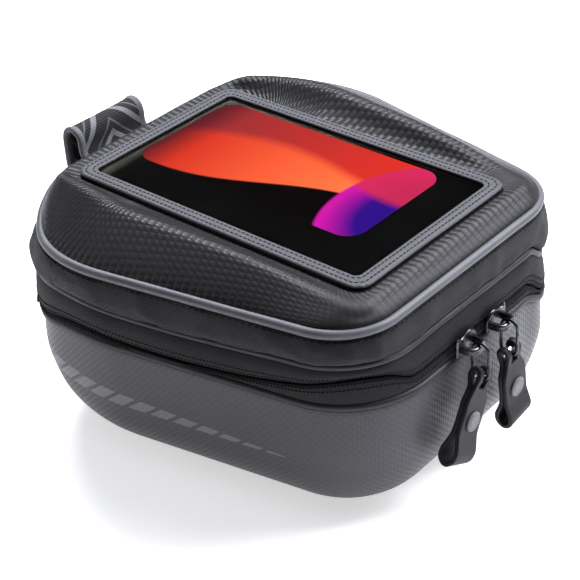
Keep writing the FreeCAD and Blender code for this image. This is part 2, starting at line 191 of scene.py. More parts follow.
def make(name, vertices, faces, materials, uvs=None):
    """A mesh object from vertices in mm; uvs are one pair per face corner, in metres."""
    mesh = bpy.data.meshes.new(name)
    mesh.from_pydata([tuple(v * MM) for v in np.asarray(vertices)], [], faces)
    for material in materials:
        mesh.materials.append(material)
    if uvs is not None:
        layer = mesh.uv_layers.new(name="weave")
        layer.data.foreach_set("uv", np.asarray(uvs, dtype=np.float32).ravel())
    mesh.polygons.foreach_set("use_smooth", [True] * len(mesh.polygons))
    mesh.update()
    piece = bpy.data.objects.new(name, mesh)
    bpy.context.scene.collection.objects.link(piece)
    return piece


def skin(name, rows, materials, around=True, loop=False, flip=False, cap=False):
    """A grid of quads over rows of matching points. around joins the last point to the first, loop the last
    row to the first, and cap closes the two end rows with faces."""
    rows = np.array(rows, dtype=float)
    count, width = rows.shape[:2]
    middle = rows[count // 2]
    us = lengths(middle, around) * MM
    vs = np.concatenate([[0], np.cumsum(np.linalg.norm(np.diff(rows, axis=0), axis=2).mean(1))]) * MM
    faces, uvs = [], []
    for i in range(count if loop else count - 1):
        below = (i + 1) % count
        v0, v1 = vs[i], vs[i + 1] if i + 1 < count else vs[i] + (vs[1] - vs[0])
        for j in range(width if around else width - 1):
            k = (j + 1) % width
            quad = [i * width + j, below * width + j, below * width + k, i * width + k]
            corner_uvs = [(us[j], v0), (us[j], v1), (us[j + 1], v1), (us[j + 1], v0)]
            if flip:
                quad.reverse()
                corner_uvs.reverse()
            faces.append(quad)
            uvs += corner_uvs
    if cap:
        ends = [list(range(width)), list(range((count - 1) * width, count * width))]
        ends[0 if flip else 1].reverse()
        for end in ends:
            faces.append(end)
            uvs += [(rows.reshape(-1, 3)[v][0] * MM, rows.reshape(-1, 3)[v][1] * MM) for v in end]
    return make(name, rows.reshape(-1, 3), faces, materials, uvs)


def tube(name, path, radius, materials, closed=True, sides=12):
    """A cord along a path, whose radius in mm may change from point to point."""
    side = outward(path, closed)
    up = np.cross(side, unit(tangents(path, closed)))
    up *= np.sign(up[:, 2].sum())
    radius = np.broadcast_to(np.asarray(radius, dtype=float).reshape(-1, 1), (len(path), 1))
    rows = [path + (side * a + up * b) * radius for a, b in circle(sides)]
    if closed:
        return skin(name, rows, materials, loop=True, flip=True)
    # the ends are closed by caps: rows run along the path instead
    return skin(name, np.swapaxes(np.array(rows), 0, 1), materials, cap=True)


def spline(at, values, wanted):
    """Catmull-Rom through the values."""
    result = []
    for s in wanted:
        i = int(np.clip(np.searchsorted(at, s) - 1, 0, len(at) - 2))
        t = (s - at[i]) / (at[i + 1] - at[i])
        p0, p1, p2, p3 = (values[min(max(k, 0), len(values) - 1)] for k in range(i - 1, i + 3))
        result.append(0.5 * (2 * p1 + (p2 - p0) * t + (2 * p0 - 5 * p1 + 4 * p2 - p3) * t * t
                             + (3 * p1 - p0 - 3 * p2 + p3) * t ** 3))
    return np.array(result)


def smooth_line(points, count):
    """Evenly spaced points on a smooth line through 2-D points, their left-hand normals and distances."""
    steps = lengths(points, False)[:-1]
    fine = np.linspace(0, steps[-1], count)
    line = np.column_stack([spline(steps, points[:, a], fine) for a in (0, 1)])
    along = unit(np.gradient(line, axis=0))
    return line, np.column_stack([-along[:, 1], along[:, 0]]), fine


def modifier(piece, kind, **settings):
    added = piece.modifiers.new(kind.lower(), kind)
    for key, value in settings.items():
        setattr(added, key, value)
    return added


def thicken(piece, thickness, inner=0):
    """Gives a sheet its thickness, inwards; inner is how many slots on the inside's material is."""
    return modifier(piece, "SOLIDIFY", thickness=thickness * MM, offset=-1.0, use_even_offset=False,
                    material_offset=inner, material_offset_rim=0)


def refine(piece, levels=1):
    return modifier(piece, "SUBSURF", levels=levels, render_levels=levels)


def join(name, pieces):
    """One object from several, keeping their materials."""
    bpy.ops.object.select_all(action="DESELECT")
    for piece in pieces:
        piece.select_set(True)
    bpy.context.view_layer.objects.active = pieces[0]
    bpy.ops.object.join()
    pieces[0].name = name
    pieces[0].data.name = name
    return pieces[0]


STITCH_RINGS = ((-0.5, 0.45), (-0.3, 1.0), (0.3, 1.0), (0.5, 0.45))
STITCH_SIDES = 6


def stitches(name, runs, material, pitch, length, radius, slant=0.0, sink=0.25):
    """Rows of sewn thread. Each run is (path, normals, closed); every stitch is a small flattened capsule."""
    vertices, faces = [], []
    for path, normals, closed in runs:
        reach = lengths(path, closed)
        total = reach[-1] if closed else reach[-2]
        count = int(total / pitch)
        loop = np.vstack([path, path[:1]]) if closed else path
        outs = np.vstack([normals, normals[:1]]) if closed else normals
        reach = reach if closed else reach[:-1]
        for k in range(count):
            s = (k + 0.5) * total / count
            ends = [np.array([np.interp(s + d, reach, loop[:, a]) for a in range(3)]) for d in (-0.6, 0.6)]
            middle = (ends[0] + ends[1]) / 2
            along = (ends[1] - ends[0]) / np.linalg.norm(ends[1] - ends[0])
            out = np.array([np.interp(s, reach, outs[:, a]) for a in range(3)])
            out -= along * (out @ along)
            out /= np.linalg.norm(out)
            side = np.cross(out, along)
            if slant:
                along, side = (along * math.cos(slant) + side * math.sin(slant),
                               side * math.cos(slant) - along * math.sin(slant))
            base = len(vertices)
            for t, girth in STITCH_RINGS:
                for m in range(STITCH_SIDES):
                    a = 2 * math.pi * m / STITCH_SIDES
                    wide = math.cos(a) * girth * radius
                    high = (math.sin(a) * girth * 0.8 - sink) * radius
                    vertices.append(middle + along * t * length + side * wide + out * high)
            for r in range(len(STITCH_RINGS) - 1):
                for m in range(STITCH_SIDES):
                    n = (m + 1) % STITCH_SIDES
                    lower, upper = base + r * STITCH_SIDES, base + (r + 1) * STITCH_SIDES
                    faces.append([lower + m, lower + n, upper + n, upper + m])
            faces.append([base + m for m in reversed(range(STITCH_SIDES))])
            faces.append([upper + m for m in range(STITCH_SIDES)])
    return make(name, vertices, faces, [material])


def lathe(name, profile, materials, steps=32):
    """A turned piece about Z: profile is (radius, z) pairs, with a flat cap at both ends."""
    rings = [[(radius * a, radius * b, z) for a, b in circle(steps)] for radius, z in profile]
    return skin(name, rings, materials, cap=True)


# ---------------------------------------------------------------- materials
def operation(kind, swapped=False):
    def apply(self, other):
        return self.shade.math(kind, *((other, self) if swapped else (self, other)))
    return apply


class Value:
    """A value worked out by a material's nodes: arithmetic and comparisons on it add Math nodes."""

    def __init__(self, shade, socket):
        self.shade, self.socket = shade, socket

    def __abs__(self):
        return self.shade.math("ABSOLUTE", self)

    __add__ = operation("ADD")
    __mul__ = operation("MULTIPLY")
    __sub__ = operation("SUBTRACT")
    __rsub__ = operation("SUBTRACT", swapped=True)
    __rmul__ = operation("MULTIPLY", swapped=True)
    __truediv__ = operation("DIVIDE")
    __pow__ = operation("POWER")
    __lt__ = operation("LESS_THAN")
    __gt__ = operation("GREATER_THAN")


class Shade:
    """A Principled material and short ways to build the nodes in front of it."""

    def __init__(self, name, **settings):
        self.material = bpy.data.materials.new(name)
        self.material.use_nodes = True
        self.tree = self.material.node_tree
        self.shader = self.tree.nodes["Principled BSDF"]
        for key, value in settings.items():
            self.shader.inputs[key.replace("_", " ")].default_value = value

    def node(self, kind, **settings):
        made = self.tree.nodes.new("ShaderNode" + kind)
        for key, value in settings.items():
            setattr(made, key, value)
        return made

    def feed(self, value, socket):
        if isinstance(value, Value):
            self.tree.links.new(value.socket, socket)
        else:
            socket.default_value = value

    def math(self, kind, *values):
        node = self.node("Math", operation=kind)
        for value, socket in zip(values, node.inputs):
            self.feed(value, socket)
        return Value(self, node.outputs[0])

    def greater(self, a, b):
        return self.math("MAXIMUM", a, b)

    def coordinates(self, kind="weave"):
        """(u, v) of the weave in metres, or the object's own (x, y, z) in metres."""
        split = self.node("SeparateXYZ")
        if kind == "weave":
            source = self.node("UVMap", uv_map="weave").outputs[0]
        else:
            source = self.node("TexCoord").outputs["Object"]
        self.tree.links.new(source, split.inputs[0])
        return [Value(self, socket) for socket in split.outputs]

    def noise(self, scale, detail=3.0, stretch=(1, 1, 1)):
        mapping, noise = self.node("Mapping"), self.node("TexNoise")
        mapping.inputs["Scale"].default_value = stretch
        self.tree.links.new(self.node("TexCoord").outputs["Object"], mapping.inputs[0])
        self.tree.links.new(mapping.outputs[0], noise.inputs["Vector"])
        for key, value in (("Scale", scale), ("Detail", detail), ("Roughness", 0.55)):
            noise.inputs[key].default_value = value
        return Value(self, noise.outputs[0])

    def cells(self, scale):
        cells = self.node("TexVoronoi", feature="F1")
        self.tree.links.new(self.node("TexCoord").outputs["Object"], cells.inputs["Vector"])
        cells.inputs["Scale"].default_value = scale
        return Value(self, cells.outputs["Distance"])

    def span(self, value, low, high, new_low=0.0, new_high=1.0):
        node = self.node("MapRange", clamp=True)
        for v, socket in zip((value, low, high, new_low, new_high), node.inputs):
            self.feed(v, socket)
        return Value(self, node.outputs[0])

    def mix(self, share, a, b):
        """Colour a where share is 0 and b where it is 1."""
        node = self.node("Mix", data_type="RGBA")
        for value, k in ((share, 0), (a, 6), (b, 7)):
            self.feed((*value, 1.0) if isinstance(value, tuple) else value, node.inputs[k])
        return Value(self, node.outputs[2])

    def patches(self, scale, dark, light, detail=4):
        """Slow, irregular changes between two colours."""
        return self.mix(self.span(self.noise(scale, detail), 0.3, 0.7), dark, light)

    def colour(self, value):
        self.feed(value, self.shader.inputs["Base Color"])

    def roughness(self, value):
        self.feed(value, self.shader.inputs["Roughness"])

    def emission(self, value, strength):
        self.feed(value, self.shader.inputs["Emission Color"])
        self.shader.inputs["Emission Strength"].default_value = strength

    def bump(self, height, depth, strength, under=None):
        node = self.node("Bump")
        node.inputs["Strength"].default_value = strength
        node.inputs["Distance"].default_value = depth * MM
        self.feed(height, node.inputs["Height"])
        if under is not None:
            self.feed(under, node.inputs["Normal"])
        made = Value(self, node.outputs[0])
        self.feed(made, self.shader.inputs["Normal"])
        return made

    def ridge(self, value, pitch):
        """0 to 1 and back over each pitch, given in mm."""
        return self.math("SINE", self.math("FRACT", value / (pitch * MM)) * math.pi)


# the lid's laminate: cords and the short floats that cross them, in mm
CORD_PITCH, FLOAT_PITCH, FLOAT_STAGGER = 3.7, 2.4, 0.6


def ribbed_laminate():
    """The lid's black carbon-look laminate: upright cords crossed by short staggered floats."""
    s = Shade("ribbed_laminate", Specular_IOR_Level=0.38)
    u, v, _ = s.coordinates()
    column = s.math("FLOOR", u / (CORD_PITCH * MM))
    cord = s.ridge(u, CORD_PITCH)
    floats = s.ridge(v + column * (FLOAT_STAGGER * MM), FLOAT_PITCH)
    height = cord * 0.62 + cord * floats * 0.38
    # the pattern fades at the corners, where the laminate is drawn out in moulding
    x, y, _ = s.coordinates("object")
    side = abs(y)
    rear_corner = s.span(x, 0.060, 0.080) * s.span(side, 0.040, 0.058)
    front_corner = s.span(x, -0.066, -0.086) * s.span(side, 0.048, 0.070)
    ends = s.span(x, 0.086, 0.090) * 0.55
    faded = s.greater(ends, s.greater(rear_corner, front_corner) * 0.88)
    height = height * (1.0 - faded)
    base = s.patches(35, (0.0045, 0.0045, 0.005), (0.008, 0.008, 0.009))
    # painted highlight: the raised cords are coloured lighter than the grooves between them
    s.colour(s.mix(height * 0.8, base, (0.022, 0.022, 0.024)))
    s.roughness(s.span(height + s.noise(260, 3) * 0.5, 0.1, 1.3, 0.56, 0.40))
    s.bump(height, 0.42, 0.85, under=s.bump(s.noise(900, 3), 0.03, 0.6))
    return s.material


TWILL_CELL = 1.7


def twill_laminate():
    """The lower shell's grey carbon-look laminate, with a printed row of slanted blocks on each long side."""
    s = Shade("twill_laminate", Specular_IOR_Level=0.5, Sheen_Weight=0.05, Sheen_Roughness=0.35)
    u, v, _ = s.coordinates()
    i, j = (s.math("FLOOR", value / (TWILL_CELL * MM)) for value in (u, v))
    warp = s.math("FLOORED_MODULO", i + j, 2.0) < 0.5
    height = warp * s.ridge(u, TWILL_CELL) + (1.0 - warp) * s.ridge(v, TWILL_CELL)
    low = s.patches(28, (0.038, 0.038, 0.043), (0.046, 0.046, 0.052))
    cloth = s.mix((warp * 0.35 + height * 0.65) * 0.8, low, (0.060, 0.060, 0.068))
    s.colour(s.mix(stripe_mask(s), cloth, (0.16, 0.16, 0.17)))
    s.roughness(s.span(height + warp * 0.3, 0.0, 1.3, 0.56, 0.42))
    s.bump(height, 0.16, 0.65, under=s.bump(s.noise(1100, 2), 0.02, 0.5))
    return s.material


# the printed blocks: a band that falls and thins towards the rider, cut by slanted gaps; in mm
STRIPE_FRONT, STRIPE_TAIL = -84.0, 60.0
STRIPE_TOP, STRIPE_DEPTH, STRIPE_FALL = 45.5, 10.0, 10.0
BLOCK_PITCH, BLOCK_GAP, BLOCK_SLANT = 11.8, 2.8, 1.25
STRIPE_SIDE = 60.0


def stripe_mask(s):
    x, y, z = s.coordinates("object")
    along = s.span(x, STRIPE_FRONT * MM, STRIPE_TAIL * MM)
    top = STRIPE_TOP * MM - along * (STRIPE_FALL * MM)
    thick = STRIPE_DEPTH * MM * (1.0 - along) ** 0.8
    slanted = x - (z - STRIPE_TOP * MM) * BLOCK_SLANT
    part = s.math("FRACT", (slanted - STRIPE_FRONT * MM) / (BLOCK_PITCH * MM))
    solid = part > BLOCK_GAP / BLOCK_PITCH
    inside = (x > STRIPE_FRONT * MM) * (x < STRIPE_TAIL * MM)
    mask = (z < top) * (z > top - thick) * (solid * inside)
    return mask * (abs(y) > STRIPE_SIDE * MM) * 0.8


def woven(name, dark, light, pitch, depth, sheen):
    """A twill cloth: fine diagonal cords with threads across them and slight fading."""
    s = Shade(name, Specular_IOR_Level=0.3, Sheen_Weight=sheen, Sheen_Roughness=0.45)
    u, v, _ = s.coordinates()
    height = s.ridge(u + v, pitch) * 0.7 + s.ridge(u - v, pitch * 0.45) * 0.3
    base = s.patches(45, dark, tuple(0.6 * d + 0.4 * l for d, l in zip(dark, light)))
    s.colour(s.mix(height * 0.7, base, light))
    s.roughness(s.span(height, 0.0, 1.0, 0.88, 0.72))
    s.bump(height, depth, 0.8, under=s.bump(s.noise(160, 3), 0.12, 0.5))
    return s.material


def vinyl(name, dark, light, rough):
    s = Shade(name, Specular_IOR_Level=0.5, Coat_Weight=0.06, Coat_Roughness=0.35)
    grain, scuff = s.noise(700, 3), s.noise(60, 4, stretch=(1, 1, 3))
    s.colour(s.mix(s.span(scuff, 0.35, 0.7), dark, light))
    s.roughness(s.span(grain + scuff, 0.6, 1.4, rough - 0.06, rough + 0.12))
    s.bump(grain, 0.05, 0.6)
    return s.material


def grained_leather():
    """The window frame's grey synthetic leather: a pressed weave, lighter where it's rubbed, and a grain."""
    s = Shade("grained_leather", Specular_IOR_Level=0.5)
    x, y, _ = s.coordinates("object")
    pressed = s.ridge(x, 2.6) * s.ridge(y, 2.6)
    grain, patch = s.cells(1500), s.noise(60, 4)
    base = s.mix(s.span(patch, 0.3, 0.7), (0.045, 0.045, 0.050), (0.066, 0.066, 0.073))
    s.colour(s.mix(pressed * 0.35, base, (0.095, 0.095, 0.104)))
    s.roughness(s.span(grain + patch, 0.3, 1.3, 0.50, 0.62))
    s.bump(pressed, 0.22, 0.7, under=s.bump(grain, 0.05, 0.6))
    return s.material


def clear_film():
    s = Shade("clear_film", Transmission_Weight=1.0, IOR=1.22, Roughness=0.02)
    s.colour(s.patches(25, (0.98, 0.99, 0.98), (0.94, 0.95, 0.94), detail=2))
    s.roughness(s.span(s.noise(30, 4), 0.6, 0.9, 0.0, 0.05))
    s.bump(s.noise(14, 1), 0.12, 0.2)
    return s.material


# the insert card's printed panel, in mm: its centre, its half sizes and its corner radius
PANEL_X, PANEL_Y, PANEL_HALF_X, PANEL_HALF_Y, PANEL_CORNER = -13.0, 10.0, 66.0, 34.0, 10.0


def glowing_card():
    """A card on a black ground with a soft warm gradient in a rounded panel, fading to violet at one end. The
    panel's picture is painted light, given off as a glow though the card is no lamp, and pale bands along the
    ground's front end and far edge are painted light too.
    """
    s = Shade("glowing_card", Specular_IOR_Level=0.0)
    x, y, _ = s.coordinates("object")

    def along(low, high, value=x):
        return s.span(value, low * MM, high * MM)

    def wave(rate, phase, reach, tilt, rise):
        return s.math("SINE", x * rate + phase) * (reach * MM) + (x * tilt + rise * MM)

    def above(line, blur):
        return along(-blur, blur, y - line)

    def distance(a, b):
        return s.math("SQRT", a ** 2.0 + b ** 2.0)

    off_x, off_y = abs(x - PANEL_X * MM), abs(y - PANEL_Y * MM)
    corner = distance(s.greater(off_x - (PANEL_HALF_X - PANEL_CORNER) * MM, 0.0),
                      s.greater(off_y - (PANEL_HALF_Y - PANEL_CORNER) * MM, 0.0))
    panel = (off_x < PANEL_HALF_X * MM) * (off_y < PANEL_HALF_Y * MM) * (corner < PANEL_CORNER * MM)

    orange = s.mix(along(-60.0, 30.0), (0.62, 0.045, 0.022), (1.0, 0.20, 0.07))
    red = s.mix(along(-70.0, 35.0), (0.30, 0.034, 0.040), (0.66, 0.036, 0.022))
    warm = s.mix(above(wave(40.0, 2.6, 7.0, 0.05, 19.0), 4.0), orange, red)
    glow_picture = s.mix(above(wave(46.0, 0.5, 5.5, 0.22, -6.0), 0.7), (0.0, 0.0, 0.0), warm)
    arc = distance(x - 62.0 * MM, (y - 5.0 * MM) * 0.8)
    cool = s.mix(along(22.0, 36.0, arc), (0.030, 0.004, 0.24), (0.56, 0.010, 0.36))
    cool = s.mix(above(wave(60.0, 1.9, 5.0, 0.0, 15.0), 3.0) * 0.85, cool, (0.60, 0.030, 0.075))
    glow_picture = s.mix(along(39.5, 38.0, arc), glow_picture, cool)
    glow_picture = s.mix(along(-60.0, -79.0), glow_picture, (0.10, 0.012, 0.020))
    # painted light: pale olive-grey bands lighten the black ground along its front end and near the front of
    # its far edge
    painted_edge_light = s.greater(along(-74.0, -80.0), along(37.0, 45.0, y) * along(30.0, -60.0))
    ground = s.mix(painted_edge_light, (0.004, 0.004, 0.004), (0.085, 0.090, 0.070))
    s.colour(s.mix(panel, ground, (0.004, 0.002, 0.002)))
    s.roughness(s.span(s.noise(200, 3), 0.3, 0.7, 0.75, 0.85))
    # painted light: the panel's picture is given off as a glow, though the card is no lamp; its own colour is
    # near black
    s.emission(s.mix(panel, (0.0, 0.0, 0.0), glow_picture), 1.4)
    s.bump(s.noise(300, 2), 0.01, 0.2)
    return s.material


def chevron_webbing():
    """Woven webbing with grey chevrons between paler selvedges; u runs across the strap, v along it."""
    s = Shade("chevron_webbing", Specular_IOR_Level=0.3, Sheen_Weight=0.05, Sheen_Roughness=0.4)
    x, y, _ = s.coordinates()
    side = abs(y)
    stripe = s.math("FRACT", (x + side) / (17.0 * MM))
    light, middle = (stripe > 0.14) * (stripe < 0.36), (stripe > 0.58) * (stripe < 0.66)
    threads = s.ridge(x, 1.1) * s.ridge(y, 0.8)
    ground = s.mix(threads, (0.007, 0.007, 0.008), (0.020, 0.020, 0.022))
    cloth = s.mix(s.greater(light, middle * 0.55), ground, (0.19, 0.19, 0.20))
    cloth = s.mix(side > 18.6 * MM, cloth, (0.15, 0.15, 0.16))
    s.colour(s.mix(threads * 0.10, cloth, (0.30, 0.30, 0.31)))
    s.roughness(s.span(threads, 0.0, 1.0, 0.85, 0.7))
    s.bump(threads + s.noise(300, 3) * 0.4, 0.22, 0.9)
    return s.material


def rubber(name, dark, light, rough):
    s = Shade(name, Specular_IOR_Level=0.45)
    dust, grain = s.noise(90, 5), s.noise(1500, 2)
    s.colour(s.mix(s.span(dust, 0.35, 0.75), dark, light))
    s.roughness(s.span(dust + grain, 0.6, 1.4, rough - 0.08, rough + 0.12))
    s.bump(grain, 0.04, 0.7)
    return s.material


def metal(name, dark, light, rough):
    s = Shade(name, Metallic=1.0, Specular_IOR_Level=0.5)
    wear, brush = s.noise(220, 4), s.noise(500, 2, stretch=(1, 6, 1))
    s.colour(s.mix(s.span(wear, 0.4, 0.75), dark, light))
    s.roughness(s.span(brush, 0.3, 0.7, rough - 0.06, rough + 0.12))
    s.bump(brush, 0.015, 0.4)
    return s.material


def plastic(name, dark, light, rough):
    s = Shade(name, Specular_IOR_Level=0.5)
    grain, patch = s.cells(1100), s.noise(50, 3)
    s.colour(s.mix(s.span(patch, 0.3, 0.7), dark, light))
    s.roughness(s.span(grain + patch, 0.3, 1.3, rough - 0.05, rough + 0.1))
    s.bump(grain, 0.03, 0.5)
    return s.material


def brushed_lining():
    s = Shade("brushed_lining", Specular_IOR_Level=0.25, Sheen_Weight=0.35, Sheen_Roughness=0.5)
    u, v, _ = s.coordinates()
    weave, nap = s.ridge(u, 0.8) * s.ridge(v, 0.8), s.noise(700, 4)
    s.colour(s.mix(weave * 0.4 + nap * 0.5, (0.10, 0.10, 0.105), (0.20, 0.20, 0.21)))
    s.roughness(s.span(nap, 0.3, 0.7, 0.8, 0.92))
    s.bump(weave + nap, 0.12, 0.8)
    return s.material


def hook_and_loop():
    s = Shade("hook_and_loop", Specular_IOR_Level=0.2, Sheen_Weight=0.4, Sheen_Roughness=0.5)
    fuzz = s.cells(1600)
    s.colour(s.mix(fuzz, (0.05, 0.05, 0.052), (0.012, 0.012, 0.013)))
    s.roughness(s.span(fuzz, 0.0, 0.8, 0.9, 0.75))
    s.bump(fuzz, 0.3, 0.9)
    return s.material


def zip_coil_material():
    s = Shade("coil_plastic", Specular_IOR_Level=0.5)
    x, y, _ = s.coordinates("object")
    tooth = s.ridge(x + y, 1.3)
    s.colour(s.mix(tooth, (0.008, 0.008, 0.009), (0.04, 0.04, 0.042)))
    s.roughness(s.span(tooth, 0.0, 1.0, 0.5, 0.35))
    s.bump(tooth, 0.3, 0.8)
    return s.material


RIBBED = ribbed_laminate()
TWILL = twill_laminate()
BAND_CLOTH = woven("band_cloth", (0.005, 0.005, 0.006), (0.034, 0.034, 0.037), 1.3, 0.3, sheen=0.06)
TAPE_CLOTH = woven("tape_cloth", (0.004, 0.004, 0.005), (0.020, 0.020, 0.022), 1.0, 0.2, sheen=0.04)
PIPING = vinyl("piping_vinyl", (0.080, 0.080, 0.088), (0.110, 0.110, 0.120), rough=0.5)
BEAD = vinyl("bead_vinyl", (0.009, 0.009, 0.010), (0.018, 0.018, 0.020), rough=0.55)
LEATHER = grained_leather()
FILM = clear_film()
CARD = glowing_card()
WEBBING = chevron_webbing()
THREAD = woven("dark_thread", (0.006, 0.006, 0.007), (0.022, 0.022, 0.024), 0.4, 0.05, sheen=0.1)
STRAP_RUBBER = rubber("strap_rubber", (0.004, 0.004, 0.005), (0.011, 0.011, 0.012), rough=0.6)
PAD_RUBBER = rubber("pad_rubber", (0.014, 0.014, 0.015), (0.030, 0.030, 0.031), rough=0.7)
ZIP_METAL = metal("zip_metal", (0.045, 0.045, 0.050), (0.14, 0.14, 0.15), rough=0.28)
BAR_STEEL = metal("bar_steel", (0.55, 0.55, 0.56), (0.70, 0.70, 0.71), rough=0.25)
SCREW_STEEL = metal("screw_steel", (0.42, 0.42, 0.44), (0.58, 0.58, 0.60), rough=0.32)
RIVET = plastic("rivet_lacquer", (0.10, 0.10, 0.108), (0.15, 0.15, 0.16), rough=0.38)
MOUNT = plastic("mount_nylon", (0.018, 0.018, 0.019), (0.032, 0.032, 0.034), rough=0.55)
BOARD = plastic("board_polymer", (0.03, 0.03, 0.03), (0.05, 0.05, 0.05), rough=0.6)
LINING = brushed_lining()
HOOK_LOOP = hook_and_loop()
COIL = zip_coil_material()


def finish_piece(piece, body, slot, *nodes):
    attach(piece, body)
    if nodes:
        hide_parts(*nodes)
    return piece


# ---------------------------------------------------------------- soft waviness of the fabric round the bag
reference = outline(between(SLIT_Z), 0.0, SLIT_Z)
REF_X, REF_Y = reference[:, 0], reference[:, 1]
REF_S = lengths(reference, True)[:-1]
TURN = 2 * math.pi / lengths(reference, True)[-1]
ripple = (0.35 * np.sin(REF_S * TURN * 7 + 0.6) + 0.25 * np.sin(REF_S * TURN * 12 + 2.1)
          + 0.15 * np.sin(REF_S * TURN * 23 + 4.0))
near_rear = hill(REF_X, 88.0, 32.0) * hill(REF_Y, -64.0, 24.0)
near_middle = hill(REF_X, -2.0, 42.0) * smooth(-REF_Y, 40, 80)
far_rear = hill(REF_X, 90.0, 30.0) * hill(REF_Y, 60.0, 22.0)
front_near = hill(REF_X, -86.0, 26.0) * smooth(-REF_Y, 40, 80)
front_far = hill(REF_X, -80.0, 50.0) * smooth(REF_Y, 40, 80)
# 0 where the sliders run, so that the zip is straight there
calm = 1 - (1 - smooth(np.abs(REF_Y - 2.0), 41.0, 56.0)) * smooth(REF_X, 60, 90)
SLIT_LIFT = (8.2 * near_rear - 11.0 * far_rear - 9.5 * front_near - 3.6 * near_middle - 3.0 * front_far
             + 0.5 * ripple) * calm
BAND_DROP = (2.0 * near_rear - 8.0 * far_rear - 4.0 * front_near - 2.6 * near_middle + 0.6 * ripple) * calm
SHELL_LIFT = (-6.0 * far_rear - 6.0 * front_near) * calm + 0.12 * ripple
BULGE = 4.8 * far_rear * calm + 4.6 * front_near
BAND_PUSH = (1.6 * near_rear + 2.6 * far_rear + 2.0 * front_near) * calm + 0.4 * ripple * calm
PIPING_PUSH = -5.4 * hill(REF_X, -92.0, 24.0) * smooth(-REF_Y, 30, 75) + 0.15 * ripple


def ring_row(plan, inset, z, lift=0.0, push=0.0):
    """One row of points round the bag, raised by lift and moved outwards by push."""
    points = outline(plan, inset, z)
    points[:, 2] += lift
    return points + outward(points) * np.broadcast_to(push, COLUMNS)[:, None]


# ---------------------------------------------------------------- lower shell
ARC_Z = 31.0


def floor_arc(inset, radius, steps):
    """(inset, z) points on the quarter circle from the wall, at that inset, down to the floor."""
    angles = [math.radians(90 * k / steps) for k in range(steps + 1)]
    return [(inset + radius - radius * math.cos(a), ARC_Z - radius * math.sin(a)) for a in angles]


def hole_row(radius, z, like):
    """A circle round the ring socket, whose points lie in the same directions as like's."""
    angles = np.arctan2(like[:, 1], like[:, 0])
    return np.column_stack([radius * np.cos(angles), radius * np.sin(angles), np.full(len(like), z)])


HOLE_RADIUS = 45.4


def lower_shell():
    wall_inset = 1.5
    crown = {62.0: 0.15, 56.0: 0.5, 50.0: 0.8, 44.0: 0.8, 38.0: 0.5}

    def wall_row(inset, z):
        push = BULGE * smooth(z / SHELL_TOP, 0.1, 0.75)
        return ring_row(SHELL_PLAN, inset, z, SHELL_LIFT * smooth(z, 20.0, SHELL_TOP), push)

    rows = [wall_row(wall_inset + 1.6, SHELL_TOP + 1.0), wall_row(wall_inset + 0.6, SHELL_TOP + 0.2),
            wall_row(wall_inset, SHELL_TOP - 1.2)]
    rows += [wall_row(wall_inset - out, z) for z, out in crown.items()]
    rows += [wall_row(inset, z) for inset, z in floor_arc(wall_inset, 28.0, 10)]
    last = rows[-1]
    rows += [last + (hole_row(HOLE_RADIUS, 3.0, last) - last) * t for t in (0.25, 0.6)]
    rows += [hole_row(HOLE_RADIUS + 0.6, 3.0, last), hole_row(HOLE_RADIUS, 3.2, last)]
    shell = skin("lower_shell", rows, [TWILL, LINING])
    thicken(shell, 2.9, inner=1)
    refine(shell)
    finish_piece(shell, "base", "moulded_grey", "body_shell")


def lining():
    inside = 4.65
    rows = [ring_row(SHELL_PLAN, inside, z, SHELL_LIFT * smooth(z, 20.0, SHELL_TOP),
                     0.25 * ripple + BULGE * smooth(z, 10.0, 50.0)) for z in (65.0, 56.0, 44.0)]
    rows += [ring_row(SHELL_PLAN, inset, z) for inset, z in floor_arc(inside, 24.8, 7)]
    last = rows[-1]
    rows += [last + (hole_row(HOLE_RADIUS, 6.2, last) - last) * 0.5, hole_row(HOLE_RADIUS + 0.2, 6.2, last)]
    cloth = skin("inner_lining", rows, [LINING])
    thicken(cloth, 0.7)
    finish_piece(cloth, "base", "lining", "body_lining")


def base_pad():
    """Non-slip rubber under the floor, with low concentric ribs round the ring's opening."""
    inset, opening, steps = 33.0, 58.6, 12
    edge = outline(SHELL_PLAN, inset, 0.0)
    rim = hole_row(opening, 0.0, edge)
    rows = [ring_row(SHELL_PLAN, inset + more, z) for more, z in ((0.0, 3.0), (0.0, 0.6), (0.6, 0.0))]
    for k in range(1, steps):
        row = edge + (rim - edge) * (k / steps)
        row[:, 2] = 0.0 if k % 2 else 0.7
        rows.append(row)
    rows += [hole_row(opening + more, z, edge) for more, z in ((0.4, 0.0), (0.0, 0.5), (0.0, 3.0))]
    pad = skin("ribbed_base_pad", rows, [PAD_RUBBER], loop=True)
    finish_piece(pad, "base", "pad_rubber", "base_pad")


def edge_bead():
    path = ring_row(SHELL_PLAN, 2.0, SHELL_BEAD_Z, SHELL_LIFT, BULGE)
    cord = tube("shell_edge_bead", path, 1.95, [BEAD])
    finish_piece(cord, "base", "bead_black", "body_edge_bead")


# ---------------------------------------------------------------- zip and fabric bands
def columns_where(test):
    """Consecutive column numbers, in order round the outline, for which test holds."""
    hits = list(np.flatnonzero(test))
    gap = next((k for k in range(1, len(hits)) if hits[k] - hits[k - 1] > 1), 0)
    return hits[gap:] + hits[:gap]


AHEAD = columns_where(REF_X > ZIP_END_X - 1.0)
BEHIND = columns_where(REF_X < ZIP_END_X + 3.0)


def zip_row(inset, z, share, upper, unevenness):
    """A row of zip cloth: share is 1 at the slit and 0 at the seam it hangs from or stands on."""
    seam_lift, seam_push = (BAND_DROP, BAND_PUSH) if upper else (SHELL_LIFT, BULGE)
    return ring_row(between(z), inset, z, SLIT_LIFT * share + seam_lift * (1 - share),
                    BULGE * share + seam_push * (1 - share) + unevenness)


